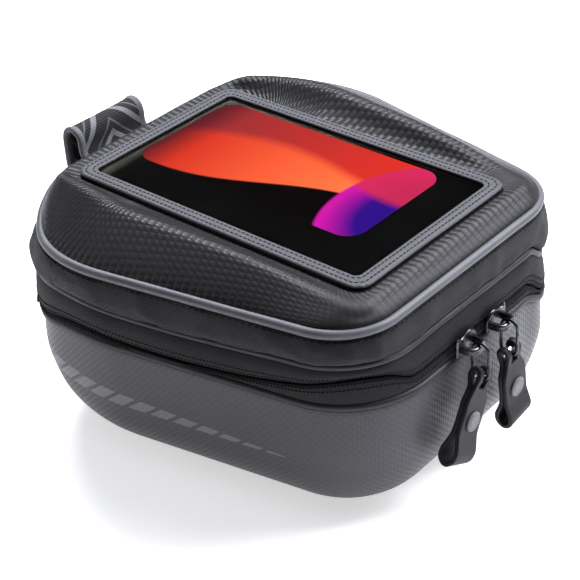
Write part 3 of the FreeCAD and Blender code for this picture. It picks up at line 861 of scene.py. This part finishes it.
def tape_rows(upper):
    """Rows from top to bottom: the upper tape hangs from the band's bead, the lower stands on the shell's."""
    if upper:
        profile = ((2.6, 88.6, 0.0), (1.6, 87.2, 0.05), (0.7, 84.9, 0.2), (0.4, 82.2, 0.45),
                   (0.6, 79.4, 0.7), (1.0, 77.1, 0.95), (1.35, 76.0, 1.0), (1.9, 75.5, 1.0),
                   (2.7, 75.45, 1.0), (4.4, 75.7, 1.0))
    else:
        profile = ((4.4, 74.3, 1.0), (2.7, 74.55, 1.0), (1.9, 74.5, 1.0), (1.35, 74.1, 1.0),
                   (1.1, 73.5, 0.95), (0.9, 72.6, 0.7), (0.9, 71.6, 0.35), (1.1, 70.6, 0.1),
                   (1.6, 69.8, 0.0), (2.4, 69.2, 0.0))
    return [zip_row(inset, z, share, upper, 0.25 * ripple * calm) for inset, z, share in profile]


def tape(name, upper, body, node):
    rows = np.array(tape_rows(upper))
    cloth = skin(name, rows[:, AHEAD], [TAPE_CLOTH], around=False)
    thicken(cloth, 0.9)
    refine(cloth)
    finish_piece(cloth, body, "zip_tape", node)
    return rows


def zip_stitching(rows, upper, body):
    """Two rows of thread on each tape, where its coil is sewn on behind."""
    runs = []
    for pick in (5, 4) if upper else (4, 5):
        path = rows[pick][AHEAD]
        out = outward(path, closed=False)
        runs.append((path + out * 0.12, out, False))
    name = "zip_stitches_" + ("upper" if upper else "lower")
    sewn = stitches(name, runs, THREAD, 1.75, 1.15, 0.36, sink=0.1)
    finish_piece(sewn, body, "zip_tape")


def coil(name, z, body, node):
    """The zip's teeth, behind the slit: a row of small ovals on a core."""
    path = ring_row(between(SLIT_Z), 4.2, z, SLIT_LIFT, BULGE)[AHEAD]
    core = tube(name, path, 0.75, [COIL], closed=False, sides=8)
    run = (path, outward(path, closed=False), False)
    teeth = stitches(name + "_teeth", [run], COIL, 1.5, 1.5, 0.85, slant=math.pi / 2, sink=0.0)
    finish_piece(join(name, [core, teeth]), body, "zip_coil", node)


def hinge_sheet():
    """One strip of tape cloth across the front, sewn to the lid above and the shell below."""
    profile = ((2.6, 88.6), (1.6, 87.2), (0.8, 84.9), (0.5, 82.2), (0.7, 79.0), (1.4, 76.6), (2.0, 75.0),
               (1.5, 73.8), (1.0, 72.6), (1.0, 71.4), (1.2, 70.4), (1.6, 69.8), (2.4, 69.2))
    rows = []
    for inset, z in profile:
        share = 1 - (z - SLIT_Z) / 13.6 if z > SLIT_Z else 1 - (SLIT_Z - z) / 5.8
        rows.append(zip_row(inset, z, share, z > SLIT_Z, 0.2 * ripple))
    cloth = skin("hinge_cloth", np.array(rows)[:, BEHIND], [TAPE_CLOTH], around=False)
    thicken(cloth, 0.9)
    refine(cloth)
    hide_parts("hinge_strip_upper", "hinge_strip_lower")
    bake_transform(cloth)


def end_tab(side):
    """A short folded grosgrain tab sewn over the end of the zip."""
    span = columns_where((np.abs(REF_X - ZIP_END_X) < 6.5) & (REF_Y * SIGN[side] > 0))
    profile = ((74.2, 0.1), (74.0, 0.9), (73.2, 1.3), (72.2, 1.35), (71.2, 1.3), (70.5, 1.1), (70.0, 0.2))
    rows = []
    for z, out in profile:
        share = (z - 70.0) / 4.2
        lift = SLIT_LIFT * share + SHELL_LIFT * (1 - share)
        rows.append(ring_row(between(z), 0.8 - out, z, lift, BULGE)[span])
    tab = skin("zip_tab_" + side, rows, [TAPE_CLOTH], around=False)
    thicken(tab, 0.9)
    refine(tab)
    finish_piece(tab, "base", "tab_fabric", "zip_end_tab_" + side)


def lid_band():
    """The woven band between the lid's piping and its lower bead, swollen slightly by simulation."""
    profile = ((3.6, 106.6, 0.0), (2.2, 105.8, 0.0), (1.2, 104.6, 0.05), (0.5, 102.6, 0.15),
               (0.1, 100.2, 0.35), (0.0, 97.8, 0.6), (0.1, 95.6, 0.8), (0.4, 93.6, 0.95),
               (1.0, 92.2, 1.0), (2.0, 91.2, 1.0), (3.4, 90.6, 1.0))
    rows = []
    for inset, z, share in profile:
        plan = LID_PLAN if z > 95 else between(max(z, 92.0) + 4)
        push = BAND_PUSH * share + PIPING_PUSH * (1 - share)
        rows.append(ring_row(plan, inset, z, BAND_DROP * share, push))
    cloth = skin("lid_band_cloth", rows, [BAND_CLOTH])
    blow_out(cloth, len(rows))
    thicken(cloth, 1.4)
    refine(cloth)
    finish_piece(cloth, "lid", "woven_band", "lid_band")
    out = outward(rows[2])
    sewn = stitches("band_stitches", [(rows[2] + out * 0.25, out, True)], THREAD, 3.2, 2.2, 0.32)
    finish_piece(sewn, "lid", "woven_band")


FRAMES = 20
MOST_SWELL = 0.6


def blow_out(piece, row_count):
    """Cloth simulation: the strip, held along both seams, swells between them by MOST_SWELL at most."""
    rest = np.array([v.co for v in piece.data.vertices])
    held = piece.vertex_groups.new(name="seams")
    for i in (0, 1, row_count - 2, row_count - 1):
        held.add(list(range(i * COLUMNS, (i + 1) * COLUMNS)), 1.0, "REPLACE")
    scene = bpy.context.scene
    cloth = piece.modifiers.new("cloth", "CLOTH")
    for key, value in dict(quality=6, mass=0.25, tension_stiffness=12, bending_stiffness=0.6,
                           vertex_group_mass="seams", shrink_min=-0.035, use_pressure=True,
                           uniform_pressure_force=2.0).items():
        setattr(cloth.settings, key, value)
    cloth.settings.effector_weights.gravity = 0
    cloth.collision_settings.use_collision = False
    cloth.point_cache.frame_start, cloth.point_cache.frame_end = 1, FRAMES
    for number in range(1, FRAMES + 1):
        scene.frame_set(number)
    evaluated = piece.evaluated_get(bpy.context.evaluated_depsgraph_get()).to_mesh()
    moved = np.array([v.co for v in evaluated.vertices]) - rest
    piece.modifiers.remove(cloth)
    scene.frame_set(1)
    reach = np.linalg.norm(moved, axis=1)
    limit = np.minimum(1.0, MOST_SWELL * MM / np.maximum(reach, 1e-9))
    piece.data.vertices.foreach_set("co", (rest + moved * limit[:, None]).ravel())
    piece.data.update()


def band_cords():
    path = ring_row(between(BAND_BEAD_Z), 3.0, BAND_BEAD_Z, BAND_DROP, BAND_PUSH)
    cord = tube("band_lower_bead", path, 1.75, [BEAD])
    finish_piece(cord, "lid", "bead_black", "band_bead")
    path = ring_row(LID_PLAN, 2.5, LID_BEAD_Z, 0.18 * ripple, PIPING_PUSH)
    cord = tube("lid_piping_cord", path, 2.15 + 0.05 * ripple, [PIPING], sides=16)
    refine(cord)
    finish_piece(cord, "lid", "piping_grey", "lid_piping")


# ---------------------------------------------------------------- lid
CREST_X = (-97.0, -92.0, -84.0, -70.0, -55.0, -28.0, 0.0, 14.0, 34.0, 48.0, 58.0, 68.0, 78.0, 87.0)
CREST_Z = (117.0, 119.6, 122.4, 124.6, 125.9, 125.9, 125.2, 124.8, 123.6, 122.2, 120.2, 118.3, 117.2, 116.9)
CREST_ROUND = 5.0


def lid_shell():
    """Rows from under the window frame, out over the crest, down the flank and under the piping."""
    base = outline(LID_PLAN, 2.9, 109.4)
    base += outward(base) * PIPING_PUSH[:, None]
    crest = outline(CREST_PLAN, 0.0, 0.0)
    height = np.interp(crest[:, 0], CREST_X, CREST_Z)
    for _ in range(3):
        height = (np.roll(height, 1) + 2 * height + np.roll(height, -1)) / 4
    crest[:, 2] = height
    foot = frame_foot(crest)
    out = outward(base)
    down, inward = base - crest, foot - crest
    flank, slope = (np.linalg.norm(side, axis=1)[:, None] for side in (down, inward))
    round_out, round_in = CREST_ROUND / flank, np.minimum(CREST_ROUND / slope, 0.45)
    rows = []
    under = foot.copy()
    under[:, :2] += (np.array([WINDOW_X, 0.0]) - foot[:, :2]) * 0.055
    for drop, share in ((2.6, 1.0), (0.9, 0.5)):
        row = foot + (under - foot) * share
        row[:, 2] = DECK_Z - drop
        rows.append(row)
    rows.append(foot)
    for t in (0.75, 0.5, 0.25):
        row = crest + inward * (round_in + (1 - round_in) * t)
        row[:, 2] -= 0.9 * smooth(height, 117.0, 123.0) * math.sin(math.pi * t)
        rows.append(row)
    # the crest's edge is a quadratic curve from the slope to the flank
    a, b = crest + inward * round_in, crest + down * round_out
    for t in (0.0, 0.2, 0.4, 0.6, 0.8, 1.0):
        rows.append(a * (1 - t) ** 2 + crest * 2 * t * (1 - t) + b * t ** 2)
    for t in (0.15, 0.32, 0.5, 0.68, 0.84, 0.94, 1.0):
        swell = 0.9 * math.sin(math.pi * t) - 0.5 * math.exp(-((t - 0.93) / 0.06) ** 2)
        rows.append(crest + down * (round_out + (1 - round_out) * t) + out * swell)
    shell = skin("lid_moulding", rows, [RIBBED, LINING])
    ribs_follow(shell, base)
    thicken(shell, 2.4, inner=1)
    refine(shell)
    finish_piece(shell, "lid", "moulded_black", "lid_shell")


def ribs_follow(piece, base):
    """Sets u to the distance round the base outline, so that the ribs stand square to the piping."""
    mesh = piece.data
    points = np.array([v.co for v in mesh.vertices])[:, :2] / MM
    start, step = base[:, :2], np.roll(base, -1, 0)[:, :2] - base[:, :2]
    reach = lengths(base, True)
    share = np.clip(((points[:, None] - start) * step).sum(2) / (step ** 2).sum(1), 0, 1)
    near = np.argmin(np.linalg.norm(start + step * share[:, :, None] - points[:, None], axis=2), axis=1)
    rows_of = np.arange(len(points))
    u = reach[near] + share[rows_of, near] * (reach[near + 1] - reach[near])
    layer = mesh.uv_layers["weave"].data
    for face in mesh.polygons:
        own = [u[mesh.loops[k].vertex_index] for k in face.loop_indices]
        wraps = max(own) - min(own) > reach[-1] / 2
        for k, value in zip(face.loop_indices, own):
            layer[k].uv.x = (value + (reach[-1] if wraps and value < reach[-1] / 2 else 0.0)) * MM


def frame_foot(crest):
    """For each crest point, the matching point just outside the window frame."""
    radius = 7.0
    inner = np.array([85.9 - radius, 55.4 - radius])
    centre = np.array([WINDOW_X, 0.0])
    offsets = crest[:, :2] - centre
    clamped = np.clip(offsets, -inner, inner)
    spots = centre + clamped + unit(offsets - clamped) * radius
    return np.column_stack([spots, np.full(len(spots), DECK_Z - 0.5)])


# the window frame's section from its outer foot to its inner one: (distance out from the window, z, corner
# radius); the two dips are the stitched grooves
FRAME_SECTION = ((7.5, 116.45, 7.5), (7.6, 117.2, 7.6), (7.15, 118.0, 7.2), (6.2, 118.3, 6.5),
                 (5.5, 118.25, 6.2), (5.0, 118.05, 6.0), (4.5, 118.28, 5.6), (3.8, 118.42, 5.0),
                 (2.7, 118.28, 4.5), (2.1, 118.02, 4.2), (1.6, 118.2, 4.0), (0.7, 118.2, 3.6),
                 (0.1, 117.9, 3.2), (0.0, 117.35, 3.0), (0.6, 116.6, 3.0))
UNEVEN_ROWS = 5


def surround():
    rows = [window_ring(*at) for at in FRAME_SECTION]
    unevenness = 0.12 * np.sin(np.linspace(0, 12 * math.pi, len(rows[0])))[:, None]
    for k in range(UNEVEN_ROWS):
        rows[k] = rows[k] + outward(rows[k]) * unevenness
    frame_piece = skin("window_surround", rows[::-1], [LEATHER], loop=True)
    refine(frame_piece)
    finish_piece(frame_piece, "lid", "frame_leather", "window_frame")
    up = np.tile([0.0, 0.0, 1.0], (len(rows[0]), 1))
    runs = [(window_ring(5.0, 118.12, 6.0), up, True), (window_ring(2.1, 118.1, 4.2), up, True)]
    sewn = stitches("window_stitches", runs, THREAD, 2.5, 1.75, 0.42, sink=0.1)
    finish_piece(sewn, "lid", "frame_leather")


def clamp(value):
    return max(0.0, min(1.0, value))


def window():
    """The clear sheet, slightly wavy, and flat where it is sewn in."""
    rows = []
    for y in np.linspace(50.2, -50.2, 35):
        row = []
        for x in np.linspace(-81.0, 81.0, 55):
            edge = clamp((78 - abs(x)) / 8) * clamp((46.5 - abs(y)) / 8)
            wave = 0.22 * math.sin(x / 13 + 0.9 * math.sin(y / 17)) + 0.18 * math.sin(y / 9 + x / 31)
            wave *= 0.3 + 0.7 * clamp((10 - x) / 60)
            row.append((WINDOW_X + x, y, 117.22 + edge * (wave - 0.12)))
        rows.append(row)
    film = skin("window_sheet", rows, [FILM], around=False)
    thicken(film, 0.5)
    refine(film)
    finish_piece(film, "lid", "clear_film", "window_film")


# ---------------------------------------------------------------- handle
STRAP_ROUTE = ((-109.4, 90.8), (-109.0, 96.5), (-110.5, 100.3), (-114.6, 103.2), (-116.2, 107.5),
               (-116.4, 112.2), (-117.9, 115.6), (-121.2, 116.9), (-124.6, 115.5), (-126.3, 111.6),
               (-126.5, 104.0), (-126.4, 96.5), (-125.0, 89.5), (-121.4, 85.3), (-116.5, 84.1),
               (-110.6, 84.4))
STRAP_Y, STRAP_HALF = -4.0, 22.5


def handle():
    """The webbing loop: STRAP_ROUTE is its middle line in (x, z), and its selvedges are a little thicker."""
    line, left, fine = smooth_line(np.array(STRAP_ROUTE), 72)
    half = STRAP_HALF
    edge = [(0.0, 0.0), (0.4, 1.15), (1.5, 1.6), (2.8, 1.3), (3.8, 0.95), (8.0, 1.0), (half - 6.0, 1.05)]
    section = mirrored([(w - half, t) for w, t in edge] + [(half - w, t) for w, t in reversed(edge)])
    vertices, faces, uvs = [], [], []
    width = len(section)
    for k, (p, n) in enumerate(zip(line, left)):
        for w, t in section:
            dip = -0.5 * (w / STRAP_HALF) ** 2 * math.sin(math.pi * k / (len(line) - 1))
            q = p + n * (t + dip)
            vertices.append((q[0], STRAP_Y + w, q[1]))
    for k in range(len(line) - 1):
        for m in range(width):
            n = (m + 1) % width
            faces.append([k * width + m, k * width + n, (k + 1) * width + n, (k + 1) * width + m])
            uvs += [(fine[a] * MM, section[b][0] * MM) for a, b in ((k, m), (k, n), (k + 1, n), (k + 1, m))]
    for end in (list(reversed(range(width))), list(range((len(line) - 1) * width, len(line) * width))):
        faces.append(end)
        uvs += [(0.0, section[v % width][0] * MM) for v in end]
    strap = make("webbing_handle", np.array(vertices), faces, [WEBBING], uvs)
    refine(strap)
    finish_piece(strap, "lid", "webbing", "handle_strap")


# ---------------------------------------------------------------- pocket
def pocket():
    """The tray under the window, in one piece over its floor and long walls, and its front end."""
    low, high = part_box("pocket_tray")
    x0, x1, half = low.x / MM + 0.4, high.x / MM - 0.4, high.y / MM - 0.4
    floor, top = low.z / MM + 0.3, high.z / MM + 0.9
    # across the tray: up one wall, over the floor and up the other
    rows = []
    section = [(-half, top), (-half, top - 4), (-half, floor + 3.5), (-half + 1.0, floor + 1.0),
               (-half + 3.5, floor)]
    section += [(y, floor + 0.25 * math.sin(y / 9.0)) for y in np.linspace(-half + 10, half - 10, 14)]
    section += [(-y, z) for y, z in reversed(section[:5])]
    for x in np.linspace(x1, x0 + 1.0, 26):
        rows.append([(x, y, z + 0.15 * math.sin(x / 8.0 + y / 15.0)) for y, z in section])
    bag = skin("phone_pocket_cloth", rows, [LINING], around=False)
    thicken(bag, 0.8)
    refine(bag)
    front = [[(x0, y, z) for y in np.linspace(-half, half, 14)] for z in np.linspace(top, floor, 5)]
    end = skin("phone_pocket_end", front, [LINING], around=False)
    thicken(end, 0.8)
    finish_piece(bag, "lid", "lining", "pocket_tray")
    finish_piece(end, "lid", "lining")


# ---------------------------------------------------------------- sliders and pullers
# a slider plate's upper half: (distance towards the other slider, half height), and how far it is enlarged
PLATE_HALF = ((-7.0, 5.3), (-6.2, 5.1), (-5.0, 4.2), (-3.4, 3.9), (-1.4, 4.6), (0.6, 5.4), (2.4, 5.5),
              (4.2, 4.9), (5.8, 3.6), (6.8, 1.8))
PLATE_LONGER, PLATE_TALLER = 1.08, 1.12
PLATE = 1.8


def plate_outline(sign):
    upper = [(-sign * a * PLATE_LONGER, b * PLATE_TALLER) for a, b in PLATE_HALF]
    points = upper + [(a, -b) for a, b in reversed(upper)]
    return points if sign < 0 else points[::-1]


def slider(side):
    y = SLIDER_Y[side]
    low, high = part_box("slider_" + side)
    inner_x, outer_x = low.x / MM, high.x / MM

    def stack(name, section, levels):
        """The section at several x, each shrunk by a share."""
        rows = [[(x, y + a * share, SLIT_Z + b * share) for a, b in section] for share, x in levels]
        return skin(name + side, rows, [ZIP_METAL], cap=True)

    edge, back = plate_outline(SIGN[side]), outer_x - PLATE
    face = [(share, outer_x - depth) for share, depth in
            ((1.0, 0.7), (0.93, 0.15), (0.85, 0.0), (0.78, 0.25), (0.5, 0.1), (0.2, 0.05))]
    outer = stack("slider_body_", edge, [(0.86, back), (1.0, back + 0.3)] + face)
    inner = stack("slider_back_", edge, [(share, inner_x + depth) for share, depth in
                                         ((0.8, 0.0), (0.97, 0.4), (0.97, 1.4), (0.85, PLATE))])
    neck = stack("slider_neck_", [(3.0 * a, 0.38 * b) for a, b in circle(12)],
                 [(1.0, x) for x in (inner_x + 1.2, inner_x + 3, outer_x - 3, outer_x - 1.2)])
    body = join("slider_body_" + side, [outer, inner, neck])
    refine(body)
    finish_piece(body, "slider_" + side, "zip_metal", "slider_" + side)
    bridge(side, outer_x - 0.6)


def bridge(side, foot):
    """The grooved loop that stands off a slider's plate, from foot, and carries the link."""
    y, far = SLIDER_Y[side], BRIDGE_X
    half = [(foot, -4.8), (foot + 1.6, -4.7), (far - 1.4, -4.3), (far - 0.3, -3.2), (far, -1.6)]
    line, left, _ = smooth_line(np.array(half + [(far, 0.0)] + [(a, -b) for a, b in reversed(half)]), 33)
    section = mirrored([(1.35, 0.0), (1.1, 0.34), (1.5, 0.8), (1.35, 1.6), (0.7, 2.15), (-0.6, 2.1),
                        (-1.2, 1.45), (-1.35, 0.0)])
    rows = [[(p[0] - n[0] * a, y + p[1] - n[1] * a, SLIT_Z + b * 0.88) for a, b in section]
            for p, n in zip(line, left)]
    loop = skin("slider_loop_" + side, rows, [ZIP_METAL], cap=True)
    refine(loop)
    finish_piece(loop, "slider_" + side, "zip_metal", "slider_bridge_" + side)


def link(side):
    """The wire link: two half circles joined by straight sides, in the plane through its slider."""
    path = [(LINK_X + LINK_RADIUS * math.cos(a), SLIDER_Y[side], middle + LINK_RADIUS * math.sin(a))
            for start, middle in ((0, LINK_TOP_Z), (math.pi, LINK_TOP_Z - LINK_DROP))
            for a in np.linspace(start, start + math.pi, 15)]
    path = np.array(path)
    across = np.tile([0.0, 1.0, 0.0], (len(path), 1))
    other = np.cross(unit(tangents(path, True)), across)
    rows = [path + (across * a + other * b) * WIRE_RADIUS for a, b in circle(10)]
    ring = skin("pull_ring_" + side, rows, [ZIP_METAL], loop=True, flip=True)
    refine(ring)
    finish_piece(ring, "link_" + side, "zip_metal", "pull_link_" + side)


# the front half of a folded strap's middle line in (x, z) from its pin, then its widths; the stud's section,
# with a dished head; and the pin's: (radius, height)
FOLD_FRONT = ((1.7, 1.6), (2.35, -0.5), (2.05, -2.6), (1.35, -5.2), (1.12, -8.5), (1.12, -13.0),
              (1.12, -19.0), (1.12, -24.0), (1.5, -28.0), (2.7, -32.0), (3.7, -35.5), (3.3, -38.9),
              (1.6, -41.0))
FOLD_TOP, FOLD_BOTTOM, BOW = (0.0, 2.3), (0.0, -41.6), 0.9
NECK_HALF, PULL_HALF, SLOT_HALF, SLOT_END = 5.1, 8.0, 2.3, -6.2
STUD = ((0.3, 1.05), (2.2, 1.1), (2.9, 1.15), (3.25, 0.85), (3.6, 1.15), (4.3, 1.0), (4.8, 0.6), (4.9, 0.1),
        (4.5, 0.0), (1.8, 0.0), (1.7, -4.3), (3.2, -4.3), (3.4, -4.6), (3.2, -5.1), (0.3, -5.2))
STUD_PLACE = (2.15 + BOW, 0, -21.0)
PIN = ((0.5, -4.75), (1.0, -4.7), (PIN_RADIUS, -4.4), (PIN_RADIUS, 4.4), (1.0, 4.7), (0.5, 4.75))


def folded_strap(side):
    """A strap folded over the pin and back up, with a slot at its neck for the link."""
    back = [(-a, b) for a, b in reversed(FOLD_FRONT)]
    route = np.array([FOLD_TOP, *FOLD_FRONT, FOLD_BOTTOM, *back])
    ring = np.vstack([route[-2:], route, route[:3]])
    steps = lengths(ring, False)[:-1]
    fine = np.linspace(steps[2], steps[len(route) + 2], 96, endpoint=False)
    line = np.column_stack([spline(steps, ring[:, a], fine) for a in (0, 1)])
    vertices = []
    for x, z in line:
        half = NECK_HALF + (PULL_HALF - NECK_HALF) * float(smooth(-z, 4.5, 13.5))
        x += BOW * math.sin(math.pi * clamp(-z / 40.0))
        across = [0.0, SLOT_HALF, SLOT_HALF + 0.4, half * 0.85, half]
        across = [-w for w in reversed(across[1:])] + across
        vertices += [(x, w, z) for w in across]
    faces, width, count = [], len(across), len(line)
    for i in range(count):
        k = (i + 1) % count
        in_slot = (line[i][1] + line[k][1]) / 2 > SLOT_END
        for j in range(width - 1):
            if not (in_slot and j in (3, 4)):
                faces.append([i * width + j, i * width + j + 1, k * width + j + 1, k * width + j])
    strap = make("pull_strap_piece_" + side, vertices, faces, [STRAP_RUBBER])
    modifier(strap, "SOLIDIFY", thickness=2.0 * MM, offset=0.0, use_even_offset=True)
    modifier(strap, "BEVEL", width=0.35 * MM, segments=2, limit_method="ANGLE", angle_limit=math.radians(50))
    return strap


def puller(side):
    """The pin, the folded rubber strap and its stud, made hanging straight down and then leaned."""
    pivot_z = LINK_TOP_Z - LINK_DROP - LINK_RADIUS + WIRE_RADIUS + PIN_RADIUS + PIN_GAP
    pivot = Vector((LINK_X, SLIDER_Y[side], pivot_z)) * MM
    place = Matrix.Translation(pivot) @ Matrix.Rotation(-math.radians(LEAN[side]), 4, "X")
    pin = lathe("pull_pin_" + side, PIN, [BAR_STEEL], 16)
    pin.data.transform(Matrix.Rotation(math.pi / 2, 4, "X"))
    strap = folded_strap(side)
    stud = lathe("pull_stud_" + side, STUD, [RIVET])
    stud.data.transform(Matrix.Translation(Vector(STUD_PLACE) * MM) @ Matrix.Rotation(math.pi / 2, 4, "Y"))
    for piece, node, slot in ((pin, "pull_bar_", "bar_steel"), (strap, "pull_strap_", "strap_rubber"),
                              (stud, "pull_rivet_", "rivet_grey")):
        piece.data.transform(place)
        finish_piece(piece, "puller_" + side, slot, node + side)


# ---------------------------------------------------------------- build
lower_shell()
lining()
base_pad()
edge_bead()
for upper, which, body in ((True, "upper", "lid"), (False, "lower", "base")):
    zip_stitching(tape("zip_cloth_" + which, upper, body, "zip_tape_" + which), upper, body)
coil("coil_upper", 76.6, "lid", "zip_coil_upper")
coil("coil_lower", 73.4, "base", "zip_coil_lower")
hinge_sheet()
end_tab("near")
end_tab("far")
lid_band()
band_cords()
lid_shell()
surround()
window()
handle()
pocket()
for side in ("near", "far"):
    slider(side)
    link(side)
    puller(side)

for node, material in (("mount_ring", MOUNT), ("mount_clamp_plate", MOUNT), ("mount_screws", SCREW_STEEL),
                       ("floor_board", BOARD), ("insert_card", CARD), ("pocket_loop_strip", HOOK_LOOP),
                       ("pocket_hook_strip", HOOK_LOOP)):
    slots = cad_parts[node].data.materials
    for k in range(len(slots)):
        slots[k] = material


# ---------------------------------------------------------------- floor, light and camera
def stage():
    """The floor: a pale sheet just under the bag that gives off a little light, so that it reads white."""
    half, z = 6.0, -0.0003
    mesh = bpy.data.meshes.new("floor")
    corners = [(-half, -half, z), (half, -half, z), (half, half, z), (-half, half, z)]
    mesh.from_pydata(corners, [], [(0, 1, 2, 3)])
    s = Shade("pale_floor", Specular_IOR_Level=0.2)
    s.colour(s.mix(s.noise(1.5, 2), (0.86, 0.86, 0.86), (0.88, 0.88, 0.88)))
    s.roughness(0.85)
    s.emission((1.0, 1.0, 1.0, 1.0), 0.60)
    mesh.materials.append(s.material)
    floor = bpy.data.objects.new("floor", mesh)
    bpy.context.scene.collection.objects.link(floor)


COOL_WHITE = (0.97, 0.98, 1.05)


def area_light(name, place, target, size, power):
    light = bpy.data.lights.new(name, "AREA")
    light.shape = "RECTANGLE"
    light.size, light.size_y = size
    light.energy = power
    light.color = COOL_WHITE
    lamp = bpy.data.objects.new(name, light)
    lamp.location = place
    lamp.rotation_euler = (Vector(target) - Vector(place)).to_track_quat("-Z", "Y").to_euler()
    bpy.context.scene.collection.objects.link(lamp)


def studio_sky():
    """Dim near the horizon and pale overhead, as in a studio with its lamps above."""
    world = bpy.data.worlds.new("studio")
    world.use_nodes = True
    nodes, links = world.node_tree.nodes, world.node_tree.links
    split, ramp = nodes.new("ShaderNodeSeparateXYZ"), nodes.new("ShaderNodeMapRange")
    links.new(nodes.new("ShaderNodeTexCoord").outputs["Generated"], split.inputs[0])
    for value, k in ((0.70, 1), (0.98, 2), (0.03, 3), (0.8, 4)):
        ramp.inputs[k].default_value = value
    links.new(split.outputs[2], ramp.inputs[0])
    links.new(ramp.outputs[0], nodes["Background"].inputs[1])
    nodes["Background"].inputs[0].default_value = (*COOL_WHITE, 1.0)
    bpy.context.scene.world = world


def camera():
    """A long lens above the near rear corner, at the angle that the bag is shown from."""
    eye = bpy.data.cameras.new("camera")
    eye.sensor_width, eye.lens = 36.0, 93.14
    eye.clip_start, eye.clip_end = 0.01, 30.0
    seen_from = bpy.data.objects.new("camera", eye)
    right, up, back = (0.7620, 0.6457, -0.0486), (-0.3284, 0.4501, 0.8304), (0.5581, -0.6168, 0.5551)
    turn = Matrix((right, up, back)).transposed().to_4x4()
    seen_from.matrix_world = Matrix.Translation(Vector((0.3965, -0.4450, 0.4552))) @ turn
    bpy.context.scene.collection.objects.link(seen_from)
    bpy.context.scene.camera = seen_from


stage()
area_light("overhead", (0.35, 0.85, 1.35), (0, 0, 0.05), (1.3, 1.0), 52)
area_light("far_right", (0.95, 1.0, 0.95), (0, 0, 0.06), (0.7, 0.7), 9)
area_light("crest_light", (-0.90, 0.58, 1.20), (0, 0, 0.10), (0.55, 0.55), 21)
area_light("left_edge", (-1.5, -0.6, 0.45), (0, 0, 0.06), (0.6, 0.6), 5)
studio_sky()
bpy.context.scene.view_settings.view_transform = "Standard"
bpy.context.scene.view_settings.gamma = 0.88
camera()
